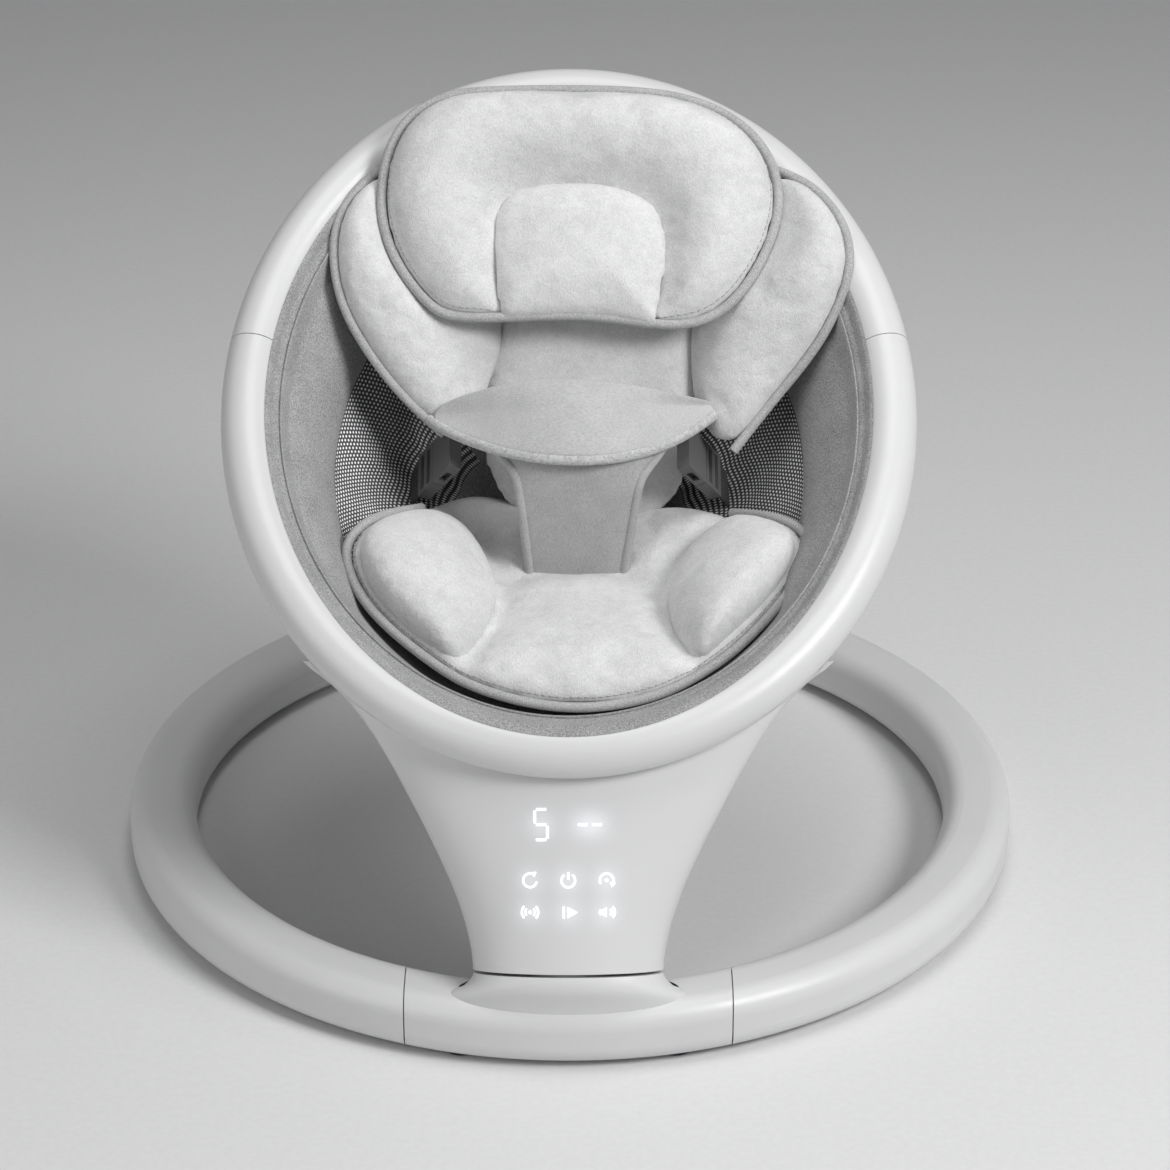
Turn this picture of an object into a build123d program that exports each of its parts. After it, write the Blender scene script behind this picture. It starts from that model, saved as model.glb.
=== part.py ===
from build123d import *
from math import cos, radians, sin, sqrt
import os

os.makedirs("parts", exist_ok=True)

# Base ring, all sizes in millimetres
ring_half_width = 310.0
ring_half_depth = 322.0
ring_tube = 46.0
ring_bottom = 2.0
ring_height = 40.0
ring_edge = 14.0
ring_wall = 3.5
block_half = 104.0
seam_gap = 0.3
seam_line = 0.8
spigot_length = 36.0
foot_radius = 12.0
foot_height = 4.0

# Neck and column, measured along the tilted swing axis
axis_tilt = 25.0
neck_y = -286.0
neck_z = 53.0
neck_half_width = 60.0
neck_half_depth = 35.0
running_gap = 2.0
column_wall = 3.2
column_split = 8.0
post_radius = 11.0
post_fit = 0.05
sleeve_bore = 14.0
sleeve_radius = 18.0
post_top = 121.0

# Hoop
hoop_tilt = 37.0
hoop_y = -61.7
hoop_z = 346.6
hoop_half_width = 211.0
hoop_half_length = 249.0
tube_radius = 17.0
tube_wall = 3.0
hoop_split = 10.5
hoop_seam = 0.14
joiner_reach = 8.0

# Snap buttons
button_radius = 4.0
button_gap = 0.3
button_proud = 2.0

# Soft goods
sling_thickness = 4.0
rim_gap = 0.5
pad_gap = 0.4
back_tilt = 18.0
seat_tilt = -25.0
webbing_width = 25.0
webbing_thickness = 1.6

# Screws and clearances
screw_radius = 1.5
pilot_radius = 1.6
shank_clearance = 1.8
head_radius = 3.0
press_gap = 0.03

ring_top = ring_bottom + ring_height
tiny = 0.05
far = 900.0

neck = Location(
    Plane(
        origin=(0, neck_y, neck_z),
        x_dir=(1, 0, 0),
        z_dir=(0, sin(radians(axis_tilt)), cos(radians(axis_tilt))),
    )
)
hoop = Location(
    Plane(
        origin=(0, hoop_y, hoop_z),
        x_dir=(1, 0, 0),
        z_dir=(0, -sin(radians(hoop_tilt)), cos(radians(hoop_tilt))),
    )
)


def save(shape, name):
    shape.label = name
    export_step(shape, "parts/" + name + ".step")


def block(x0, x1, y0, y1, z0, z1):
    middle = Pos((x0 + x1) / 2, (y0 + y1) / 2, (z0 + z1) / 2)
    return middle * Box(x1 - x0, y1 - y0, z1 - z0)


def rod(radius, z0, z1, x=0.0, y=0.0):
    return Pos(x, y, (z0 + z1) / 2) * Cylinder(radius, z1 - z0)


def tube(outer, inner, z0, z1, x=0.0, y=0.0):
    return rod(outer, z0, z1, x, y) - rod(inner, z0 - 1, z1 + 1, x, y)


def rod_along_y(radius, y0, y1, x, z):
    return Pos(x, (y0 + y1) / 2, z) * Rot(X=90) * Cylinder(radius, y1 - y0)


def rod_along_x(radius, x0, x1, y, z):
    return Pos((x0 + x1) / 2, y, z) * Rot(Y=90) * Cylinder(radius, x1 - x0)


def stack(sections):
    return loft([Pos(0, c, z) * Ellipse(a, b) for z, a, b, c in sections])


def group(shapes):
    return Compound(children=shapes)


# Base ring: one oval band, split into a front housing and two legs


def ring_band(inset, low, high, edge):
    outer = Ellipse(ring_half_width - inset, ring_half_depth - inset)
    inner_half_width = ring_half_width - ring_tube + inset
    inner_half_depth = ring_half_depth - ring_tube + inset
    flat = outer - Ellipse(inner_half_width, inner_half_depth)
    band = extrude(Pos(0, 0, low) * flat, amount=high - low)
    return fillet(band.edges().filter_by(GeomType.ELLIPSE), edge)


ring_solid = ring_band(0, ring_bottom, ring_top, ring_edge)
ring_core = ring_band(ring_wall, ring_bottom + ring_wall, ring_top - ring_wall, ring_edge - ring_wall)
plug_inset = ring_wall + seam_gap
ring_plug = ring_band(plug_inset, ring_bottom + plug_inset, ring_top - plug_inset, ring_edge - plug_inset)
front_zone = block(-block_half, block_half, -far, 0, -far, far)
left_half = block(-far, 0, -far, far, -far, far)
right_half = block(0, far, -far, far, -far, far)

foot_angles = (18, 66, 114, 162, 214, 326)
foot_spots = []
for angle in foot_angles:
    foot_x = (ring_half_width - ring_tube / 2) * cos(radians(angle))
    foot_y = (ring_half_depth - ring_tube / 2) * sin(radians(angle))
    foot_spots.append((foot_x, foot_y))
front_foot_x = 68.0
front_foot_y = -ring_half_depth + ring_tube / 2 + 8.0
foot_spots.append((-front_foot_x, front_foot_y))
foot_spots.append((front_foot_x, front_foot_y))
feet = [rod(foot_radius, 0, foot_height, x, y) for x, y in foot_spots]
foot_pockets = [rod(foot_radius + 0.2, -1, foot_height, x, y) for x, y in foot_spots]

leg_button_x = block_half + spigot_length / 2
leg_button_z = ring_bottom + ring_height / 2
slope = sqrt(1 - (leg_button_x / (ring_half_width - ring_tube)) ** 2)
leg_wall_y = -(ring_half_depth - ring_tube) * slope
joiner_half = 42.0
joiner_screw_x = 24.0
joiner_head_radius = 1.9
joiner_screw_y = ring_half_depth - ring_tube / 2 - 1.0
leg_cut = block_half + seam_line
leg_tube = ring_solid - ring_core - block(-leg_cut, leg_cut, -far, 0, -far, far)
for side in (-1, 1):
    hole_x = side * leg_button_x
    button_hole = button_radius + button_gap
    leg_tube -= rod_along_y(button_hole, leg_wall_y - 18, leg_wall_y + 20, hole_x, leg_button_z)
    screw_x = side * joiner_screw_x
    leg_tube -= rod(joiner_head_radius + 0.1, ring_bottom - 1, ring_bottom + 10, screw_x, joiner_screw_y)
for pocket in foot_pockets:
    leg_tube -= pocket
save(leg_tube & left_half, "base_leg_left")
save(leg_tube & right_half, "base_leg_right")

rear_zone = block(-joiner_half, joiner_half, 0, far, -far, far)
rear_joiner = ring_plug & rear_zone
screw_floor = ring_bottom + ring_wall
joiner_screws = []
for side in (-1, 1):
    x = side * joiner_screw_x
    rear_joiner -= rod(pilot_radius, screw_floor - 1, screw_floor + 14, x, joiner_screw_y)
    shank = rod(screw_radius, screw_floor - 2, screw_floor + 12, x, joiner_screw_y)
    head = rod(joiner_head_radius, ring_bottom + 0.4, screw_floor - 2, x, joiner_screw_y)
    joiner_screws.append(shank + head)
save(rear_joiner, "rear_leg_joiner")
save(group(joiner_screws), "joiner_screws")
save(group(feet), "rubber_feet")

# Front housing: ring section, rear boss and tilted neck with a deck for the post
boss_half_width = 92.0
boss_half_depth = 33.4
boss_front_inset = 0.8
boss_y = -ring_half_depth + boss_half_depth + boss_front_inset
boss_top = 16.0
deck_thickness = 4.0
deck_top = -running_gap / 2
neck_top_ellipse = Ellipse(neck_half_width, neck_half_depth)
neck_top = neck * Pos(0, 0, deck_top) * neck_top_ellipse
neck_waist = neck * Pos(0, 0, deck_top - 6.0) * Ellipse(neck_half_width + 3.5, neck_half_depth)
flare_half_width = neck_half_width + 17.0
flare_place = Pos(0, neck_y - 0.5, ring_top - 3.0) * Rot(X=-0.8 * axis_tilt)
neck_flare = flare_place * Ellipse(flare_half_width, neck_half_depth)
neck_foot = Pos(0, boss_y, boss_top) * Ellipse(boss_half_width, boss_half_depth)
neck_outer = loft([neck_foot, neck_flare, neck_waist, neck_top])
boss_oval = Ellipse(boss_half_width, boss_half_depth)
behind_ring = block(-far, far, -ring_half_depth + ring_tube / 2, far, -far, far)
boss_outer = extrude(Pos(0, boss_y, ring_bottom) * boss_oval, boss_top - ring_bottom) & behind_ring
cover_split = ring_bottom + 6.0
cover_zone = block(-far, far, -far, far, -far, cover_split)
ring_front = ring_solid & front_zone
cover_outer = (ring_front & cover_zone) + (boss_outer & cover_zone)
housing_outer = (ring_front - cover_zone) + (boss_outer - cover_zone) + neck_outer

end_wall = 6.0
cavity_half = block_half - end_wall
cavity_zone = block(-cavity_half, cavity_half, -far, 0, -far, far)
cavity_floor = ring_bottom + ring_wall
boss_flat = Ellipse(boss_half_width - ring_wall, boss_half_depth - ring_wall)
boss_cavity = extrude(Pos(0, boss_y, cavity_floor) * boss_flat, boss_top - cavity_floor) & behind_ring
neck_bottom_in = Pos(0, boss_y, boss_top) * boss_flat
neck_flare_in = flare_place * Ellipse(flare_half_width - ring_wall, neck_half_depth - ring_wall)
neck_top_flat = Ellipse(neck_half_width - ring_wall, neck_half_depth - ring_wall)
neck_top_in = neck * Pos(0, 0, deck_top - deck_thickness) * neck_top_flat
neck_cavity = loft([neck_bottom_in, neck_flare_in, neck_top_in])
ring_cavity = ring_core & cavity_zone

cover_screw_spots = [(-88, -284), (88, -284), (-38, -273), (38, -273)]
cover_post_radius = 4.5
cover = cover_outer - ring_cavity - boss_cavity
housing = housing_outer - ring_cavity - boss_cavity - neck_cavity
for x, y in cover_screw_spots:
    housing += rod(cover_post_radius, cover_split, ring_top + 2.0, x, y) & housing_outer
    cover += rod(cover_post_radius, cavity_floor - 1, cover_split, x, y)
cover_screws = []
head_top = ring_bottom + 2.4
screw_top = cover_split + 12.0
for x, y in cover_screw_spots:
    housing -= rod(pilot_radius, cover_split - 1, screw_top + 1, x, y)
    cover -= rod(shank_clearance, ring_bottom - 1, cover_split + 1, x, y)
    cover -= rod(head_radius + 0.3, ring_bottom - 1, head_top, x, y)
    screw = rod(screw_radius, ring_bottom + 1, screw_top, x, y)
    cover_screws.append(screw + rod(head_radius, ring_bottom + 0.3, head_top, x, y))
for pocket in foot_pockets:
    cover -= pocket

for side in (-1, 1):
    inner_edge = min(side * block_half, side * (block_half + spigot_length))
    outer_edge = max(side * block_half, side * (block_half + spigot_length))
    spigot = ring_plug & block(inner_edge, outer_edge, -far, 0, -far, far)
    spigot -= rod_along_y(button_hole, leg_wall_y - 26, leg_wall_y + 20, side * leg_button_x, leg_button_z)
    housing += spigot

# Power inlet in a square recess at the back of the housing
inlet_z = 20.0
inlet_face = -258.0
inlet_radius = 5.6
jack_radius = 3.2
pin_radius = 1.0
recess_half = 9.0
plate_half = 11.0
inlet_half = 7.0
inlet_deep = inlet_face - 5.5
plate_rear = inlet_deep + 2.5
inlet_place = Pos(0, 0, inlet_z)
recess = block(-recess_half, recess_half, inlet_face, inlet_face + 40, -recess_half, recess_half)
inlet_plate = block(-plate_half, plate_half, plate_rear, inlet_face, -plate_half, plate_half)
housing -= inlet_place * recess
housing += (inlet_place * inlet_plate) & housing_outer
housing -= rod_along_y(inlet_radius + 0.1, inlet_deep - 2, inlet_face + 2, 0, inlet_z)
inlet = rod_along_y(inlet_radius, inlet_deep - 6, inlet_face - 0.4, 0, inlet_z)
inlet += inlet_place * block(-inlet_half, inlet_half, inlet_deep - 12, plate_rear, -inlet_half, inlet_half)
inlet -= rod_along_y(jack_radius, inlet_deep - 8, inlet_face + 2, 0, inlet_z)
inlet += rod_along_y(pin_radius, inlet_deep - 8.5, inlet_face - 2.5, 0, inlet_z)

deck_hole = neck * rod(post_radius + 0.2, -60, 20)
housing -= deck_hole
bracket_ring = 21.5
bracket_angles = (30, 150, 270)
deck_under = deck_top - deck_thickness
flange_under = deck_under - 5.0
flange_radius = 26.0
hub_radius = 17.0
post_bottom = -34.0
bracket = rod(flange_radius, flange_under, deck_under) + rod(hub_radius, post_bottom, flange_under)
bracket -= rod(post_radius + press_gap, -60, 20)
bracket_screws = []
for angle in bracket_angles:
    x = bracket_ring * cos(radians(angle))
    y = bracket_ring * sin(radians(angle))
    housing -= neck * rod(pilot_radius, deck_under - 1, deck_top - 0.8, x, y)
    bracket -= rod(shank_clearance, flange_under - 1, deck_under + 1, x, y)
    shank = rod(screw_radius, flange_under, deck_top - 1, x, y)
    bracket_screws.append(shank + rod(head_radius - 0.1, flange_under - 2, flange_under, x, y))
save(housing, "base_front_housing")
save(cover, "base_bottom_cover")
save(group(cover_screws), "base_cover_screws")
save(inlet, "power_inlet")
save(neck * bracket, "post_bracket")
save(neck * group(bracket_screws), "bracket_screws")

# Fixed post with thrust washer, magnet arm and nut
arm_low = 102.0
arm_high = 110.0
magnet_near = 50.0
magnet_far = 57.0
washer_radius = 30.0
arm_hub_radius = 16.0
arm_half = 6.0
magnet_half = 9.0
nut_radius = 15.0
nut_height = 8.0
swing_post = rod(post_radius, post_bottom, post_top)
swing_post = chamfer(swing_post.edges().sort_by(Axis.Z)[-1], 1.0)
post_bore = rod(post_radius + press_gap, 60, 160)
washer = tube(washer_radius, post_radius + 0.3, deck_top + tiny, -deck_top - tiny)
arm = rod(arm_hub_radius, arm_low - 1, arm_high + 1)
arm += block(0, magnet_near, -arm_half, arm_half, arm_low, arm_high)
arm += block(magnet_near - 3, magnet_near, -magnet_half, magnet_half, arm_low - 3, arm_high + 3)
arm -= post_bore
magnet = block(magnet_near, magnet_far, -magnet_half, magnet_half, arm_low - 3, arm_high + 3)
nut = Pos(0, 0, arm_high + 1) * extrude(RegularPolygon(nut_radius, 6), nut_height) - post_bore
save(neck * swing_post, "swing_post")
save(neck * washer, "thrust_washer")
save(neck * arm, "magnet_arm")
save(neck * magnet, "drive_magnet")
save(neck * nut, "post_nut")

# Sling: an oval bowl that hangs inside the hoop
bowl = (
    (4.0, 0.0, 0.0, 0.0),
    (-34.0, 11.0, 17.0, -4.0),
    (-72.0, 34.0, 48.0, -14.0),
    (-108.0, 68.0, 92.0, -26.0),
    (-132.0, 112.0, 140.0, -38.0),
    (-141.0, 150.0, 182.0, -42.0),
)
rim_half_width = hoop_half_width - tube_radius - rim_gap
rim_half_length = hoop_half_length - tube_radius - rim_gap


def bowl_solid(grow, deepen):
    sections = []
    for depth, less_width, less_length, centre in bowl:
        half_width = rim_half_width - less_width + grow
        half_length = rim_half_length - less_length + grow
        sections.append((depth - deepen, half_width, half_length, centre))
    return stack(sections)


sling_outer = bowl_solid(0, 0)
sling_inner = bowl_solid(-sling_thickness, -sling_thickness)
pad_room = bowl_solid(-sling_thickness - pad_gap, -sling_thickness - pad_gap)
sling_shell = sling_outer - sling_inner
sling_shell &= block(-far, far, -far, far, -far, 4.0)
mesh_top = -78.0
mesh_low = -124.0
mesh_front = -96.0
mesh_rear = 62.0
mesh_inner = 60.0
mesh_left_zone = block(-far, -mesh_inner, mesh_front, mesh_rear, mesh_low, mesh_top)
mesh_right_zone = block(mesh_inner, far, mesh_front, mesh_rear, mesh_low, mesh_top)
save(hoop * (sling_shell - mesh_left_zone - mesh_right_zone), "seat_sling")
save(hoop * (sling_shell & mesh_left_zone), "mesh_panel_left")
save(hoop * (sling_shell & mesh_right_zone), "mesh_panel_right")

# Hoop: hollow tube in two lengths, plugged together by joiners


def hoop_sweep(radius, start, end):
    path = EllipticalCenterArc((0, 0), hoop_half_width, hoop_half_length, start, arc_size=end - start)
    section = Plane(origin=path @ 0, z_dir=path % 0) * Circle(radius)
    return sweep(section, path=path)


def hoop_spot(angle):
    return hoop_half_width * cos(radians(angle)), hoop_half_length * sin(radians(angle))


bore = tube_radius - tube_wall
lower_start = 180 - hoop_split
lower_end = 360 + hoop_split
hoop_lower = hoop_sweep(tube_radius, lower_start, lower_end)
hoop_lower -= hoop_sweep(bore, lower_start - 0.5, lower_end + 0.5)
upper_start = hoop_split + hoop_seam
upper_end = 180 - upper_start
hoop_upper = hoop_sweep(tube_radius, upper_start, upper_end)
hoop_upper -= hoop_sweep(bore, upper_start - 0.5, upper_end + 0.5)
button_angle = hoop_split + joiner_reach / 2
button_low = -tube_radius - button_proud
button_high = button_low + 16.0
for side, name in ((1, "right"), (-1, "left")):
    start = hoop_split - joiner_reach if side == 1 else 180 - hoop_split - joiner_reach
    joiner = hoop_sweep(bore - 0.15, start, start + 2 * joiner_reach)
    x, y = hoop_spot(button_angle)
    hole = rod(button_hole, -far, button_high + 5.0, side * x, y)
    joiner -= hole
    hoop_upper -= hole
    button = rod(button_radius, button_low, button_high, side * x, y)
    button = fillet(button.edges().sort_by(Axis.Z)[0], 1.2)
    save(hoop * joiner, "hoop_joiner_" + name)
    save(hoop * button, "hoop_button_" + name)
    leg_x = side * leg_button_x
    leg_button = rod_along_y(button_radius, leg_wall_y - 14, leg_wall_y + 4, leg_x, leg_button_z)
    save(leg_button, "leg_button_" + name)

# Column: a trumpet that flares from the neck into the underside of the hoop
trumpet = (
    (-deck_top, 60.5, 35.0),
    (35.0, 67.0, 35.0),
    (70.0, 81.0, 35.0),
    (105.0, 98.5, 35.5),
    (140.0, 118.0, 36.5),
    (170.0, 139.5, 38.0),
    (196.0, 173.0, 40.0),
)


def trumpet_solid(inset):
    sections = []
    for height, half_width, half_depth in trumpet:
        front_shift = half_depth - neck_half_depth
        sections.append((height, half_width - inset, half_depth - inset, front_shift))
    return neck * stack(sections)


saddle_gap = 0.2
saddle_top = -3.0
cavity_top = -20.5
hoop_keep_out = hoop * hoop_sweep(tube_radius + saddle_gap, 200, 340)
above_hoop = hoop * block(-far, far, -far, far, saddle_top, far)
trumpet_outer = trumpet_solid(0) - above_hoop - hoop_keep_out - hoop * bowl_solid(2.0, 2.0)
rim_trim = tube_radius - 0.6
outside_hoop = block(-far, far, -far, far, -24.0, far) - block(-140, 140, -far, far, -far, far)
rim_oval = Ellipse(hoop_half_width + rim_trim, hoop_half_length + rim_trim)
outside_hoop -= extrude(Pos(0, 0, -60) * rim_oval, 120)
inside_hoop = extrude(Pos(0, 0, -10) * Ellipse(hoop_half_width, hoop_half_length), 60)
trumpet_outer -= hoop * outside_hoop
trumpet_outer -= hoop * inside_hoop
column_deck = -deck_top + deck_thickness
above_cavity = hoop * block(-far, far, -far, far, cavity_top, far)
below_cavity = neck * block(-far, far, -far, far, -far, column_deck)
column_room = trumpet_solid(column_wall) - above_cavity - below_cavity - hoop * bowl_solid(6.0, 6.0)
column = trumpet_outer - column_room

screw_spots = ((-52, 40), (52, 40), (-84, 112), (84, 112))
board_spots = ((-36, 36), (36, 36), (-36, 106), (36, 106))
board_front = -22.0
board_thickness = 1.6
speaker_x = -46.0
speaker_s = 106.0
speaker_radius = 24.0
speaker_magnet = 15.0
ring_from = 13.0
screw_post = 4.5
board_post = 3.5
extras = [rod_along_y(screw_post, -60, 60, x, s) for x, s in screw_spots]
extras += [rod_along_y(board_post, -60, board_front, x, s) for x, s in board_spots]
speaker_ring = rod_along_y(speaker_radius + 3.0, ring_from, 60, speaker_x, speaker_s)
speaker_ring -= rod_along_y(speaker_radius + 0.3, ring_from - 1, 61, speaker_x, speaker_s)
extras.append(speaker_ring)
cradle_half = 24.0
cradle_s = 84.0
cradle = block(-cradle_half, cradle_half, column_split, 60, cradle_s, cradle_s + 4)
cradle -= rod(sleeve_radius + 0.05, 0, 200)
extras.append(cradle)
for extra in extras:
    column += (neck * extra) & trumpet_outer
column -= neck * rod(post_radius + 1.5, -20, column_deck + 1)
column_screws = []
screw_reach = 12.0
head_seat = column_split + 6.0
for x, s in screw_spots:
    column -= neck * rod_along_y(pilot_radius, column_split - screw_reach - 2, 60, x, s)
    column -= neck * rod_along_y(head_radius + 0.4, head_seat, 60, x, s)
    screw = rod_along_y(screw_radius, column_split - screw_reach, head_seat, x, s)
    column_screws.append(screw + rod_along_y(head_radius + 0.1, head_seat, head_seat + 2.5, x, s))
grille_half = 15.0
grille_pitch = 7.0
grille_slot = 1.5
for row in range(-2, 3):
    slot_s = speaker_s + row * grille_pitch
    slot = block(-grille_half, grille_half, 24, 60, slot_s - grille_slot, slot_s + grille_slot)
    column -= neck * Pos(speaker_x, 0, 0) * slot
hoop_screw_angles = (255, 270, 285)
hoop_screws = []
hoop_screw_radius = 2.0
for angle in hoop_screw_angles:
    x, y = hoop_spot(angle)
    column -= hoop * rod(hoop_screw_radius + 0.2, cavity_top - 2, saddle_top, x, y)
    hoop_lower -= rod(hoop_screw_radius + 0.1, -tube_radius - 2, -bore + 2, x, y)
    shank = rod(hoop_screw_radius, cavity_top, -bore + 1, x, y)
    hoop_screws.append(shank + rod(2 * hoop_screw_radius, cavity_top - 3, cavity_top, x, y))
front_half = neck * block(-far, far, -far, column_split, -far, far)
save(column & front_half, "column_front_shell")
save(column - front_half, "column_rear_shell")
save(neck * group(column_screws), "column_screws")
save(hoop * group(hoop_screws), "hoop_screws")
save(hoop * hoop_lower, "hoop_lower")
save(hoop * hoop_upper, "hoop_upper")

# Inside the column
sleeve_top = 98.0
flange_half = 28.0
bushing_length = 14.0
sleeve_hole = sleeve_bore + press_gap
bushing_hole = post_radius + post_fit
sleeve = tube(sleeve_radius, sleeve_hole, column_deck, sleeve_top)
sleeve += tube(flange_half, sleeve_hole, column_deck, column_deck + deck_thickness)
save(neck * sleeve, "bearing_sleeve")
save(neck * tube(sleeve_bore, bushing_hole, column_deck, column_deck + bushing_length), "lower_bushing")
save(neck * tube(sleeve_bore, bushing_hole, sleeve_top - bushing_length, sleeve_top), "upper_bushing")
board_half = 40.0
board_low = 31.0
board_high = 111.0
board = block(-board_half, board_half, board_front, board_front + board_thickness, board_low, board_high)
save(neck * board, "control_board")
guide_half = 31.0
guide = neck * block(-guide_half, guide_half, -60, board_front, board_low + 3, board_high - 7)
save(guide & trumpet_solid(column_wall + 0.1), "display_light_guide")
speaker = rod_along_y(speaker_radius, ring_from, ring_from + 5, speaker_x, speaker_s)
speaker += rod_along_y(speaker_magnet, ring_from - 9, ring_from, speaker_x, speaker_s)
save(neck * speaker, "speaker")
coil_gap = 2.5
coil_length = 15.0
core_radius = 7.0
cheek_radius = 14.0
cheek = 2.0
winding_radius = 12.5
coil_from = magnet_far + coil_gap
coil_to = coil_from + coil_length
coil_s = (arm_low + arm_high) / 2
bobbin = rod_along_x(core_radius, coil_from, coil_to, 0, coil_s)
bobbin += rod_along_x(cheek_radius, coil_from, coil_from + cheek, 0, coil_s)
bobbin += rod_along_x(cheek_radius, coil_to - cheek, coil_to, 0, coil_s)
bobbin_foot = block(coil_to - cheek, coil_to, 0, 60, coil_s - 8, coil_s + 8)
winding = rod_along_x(winding_radius, coil_from + cheek + 0.1, coil_to - cheek - 0.1, 0, coil_s)
winding -= rod_along_x(core_radius + 0.1, coil_from, coil_to, 0, coil_s)
save((neck * (bobbin + bobbin_foot)) & trumpet_solid(column_wall + 0.1), "coil_bobbin")
save(neck * winding, "coil_winding")

# Padded seat goods, drawn in the hoop frame: across, along and out of the hoop plane


def outline(points, factor):
    return make_face(Spline(*[(x * factor, y * factor) for x, y in points], periodic=True))


def cushion(points, low, high):
    height = high - low
    levels = ((low, 0.95), (low + 0.5 * height, 1.0), (low + 0.8 * height, 0.93), (high, 0.72))
    return loft([Pos(0, 0, z) * outline(points, factor) for z, factor in levels])


def mirrored(points):
    return points + [(-x, y) for x, y in reversed(points) if x != 0]


back_middle = (0, 52, -54.5)
back_frame = Pos(*back_middle) * Rot(X=back_tilt)
back_points = mirrored([(0, -98), (-44, -90), (-54, -20), (-60, 60), (-52, 118), (0, 128)])
back_pad = (back_frame * cushion(back_points, -70, 0)) & pad_room

seat_middle = (0, -134, -62.0)
seat_frame = Pos(*seat_middle) * Rot(X=seat_tilt)
seat_points = mirrored([(0, -84), (-32, -76), (-41, -20), (-41, 36), (0, 62)])
seat_pad = (seat_frame * cushion(seat_points, -60, 0)) & pad_room

pillow_up = 109.0
pillow_rise = 36.0
pillow_frame = back_frame * Pos(0, pillow_up, pillow_rise)
pillow_low = -pillow_rise + pad_gap
pillow_keep_out = pillow_frame * block(-136, 136, -86, 90, pillow_low, 80)
harness_keep_out = block(-106, 106, -80, 36, -54, 40)

wing_u = 112.0
wing_roll = 14.0
thigh_u = 94.6
wing_points = [(28, -64), (46, -24), (47, 36), (20, 74), (-24, 70), (-48, 30), (-46, -14), (-14, -54)]
thigh_points = [(10, -76), (42, -40), (45, 20), (22, 58), (-16, 62), (-44, 32), (-48, -10), (-34, -50)]
for side, name in ((-1, "left"), (1, "right")):
    turned_wing = [(-side * x, y) for x, y in wing_points]
    wing_frame = Pos(side * wing_u, 84, -40) * Rot(X=back_tilt) * Rot(Y=-side * wing_roll)
    wing = (wing_frame * cushion(turned_wing, -80, 16)) & pad_room
    save(hoop * (wing - pillow_keep_out - harness_keep_out), "wing_" + name)
    turned_thigh = [(-side * x, y) for x, y in thigh_points]
    thigh_frame = Pos(side * thigh_u, -126, -60) * Rot(X=seat_tilt)
    thigh = (thigh_frame * cushion(turned_thigh, -70, 20)) & pad_room
    save(hoop * thigh, "thigh_bolster_" + name)
save(hoop * back_pad, "back_pad")
save(hoop * seat_pad, "seat_pad")

bolster_half_depth = 24.0
bolster_half_width = 32.0
bolster_path = Spline((-95, -62), (-97, 0), (-64, 36), (0, 48), (64, 36), (97, 0), (95, -62))
bolster_end = Plane(origin=bolster_path @ 0, z_dir=bolster_path % 0, x_dir=(0, 0, 1))
bolster_section = bolster_end * Ellipse(bolster_half_depth, bolster_half_width)
bolster = pillow_frame * sweep(bolster_section, path=bolster_path)
save(hoop * bolster, "head_bolster")
centre_high = 22.0
centre_points = mirrored([(0, -66), (-54, -60), (-64.8, -20), (-46, 7), (0, 15.8)])
save(hoop * (pillow_frame * cushion(centre_points, pillow_low, centre_high)), "head_center_pad")

# Harness: arched waist pad, crotch strap, webbing and side release buckles
waist_half = 98.0
waist_arch = 150.0
waist_thickness = 13.0
waist_top = -8.0
waist_v = 2.0
lens = mirrored([(0, -30), (-52, -26), (-84, -12), (-waist_half, 6), (-80, 20), (-44, 28), (0, 31)])
lens_prism = Pos(0, waist_v, -90) * extrude(outline(lens, 1.0), 100)
arch_centre = waist_top - waist_arch
arch = rod_along_y(waist_arch, -100, 100, 0, arch_centre)
arch -= rod_along_y(waist_arch - waist_thickness, -101, 101, 0, arch_centre)
waist = lens_prism & arch
save(hoop * waist, "waist_pad")

strap_thickness = 3.0
strap_top_half = 40.0
strap_half = 29.0
strap_frame = Pos(0, -30, -24) * Rot(X=55)
strap_points = [(-strap_top_half, 6), (strap_top_half, 6), (strap_top_half, -16), (strap_half, -26)]
strap_points += [(strap_half, -70), (-strap_half, -70), (-strap_half, -26), (-strap_top_half, -16)]
strap_face = make_face(Polyline(*strap_points, close=True))
strap = strap_frame * extrude(strap_face, strap_thickness)
save(hoop * (strap - arch - seat_pad - back_pad), "crotch_strap")

# Side release buckles: the socket hangs from the waist pad, the plug slides out along its webbing
socket_length = 26.0
socket_half = 16.0
socket_half_thick = 4.5
socket_wall = 2.0
plug_length = 22.0
plug_gap = 0.5
prong_length = 16.0
prong_half_width = 2.0
prong_half_thick = socket_half_thick - socket_wall - 0.4
prong_spread = socket_half - 5.6
guide_length = 11.0
release_travel = 16.0
webbing_reach = 47.0
buckle_lean = 62.0

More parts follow.
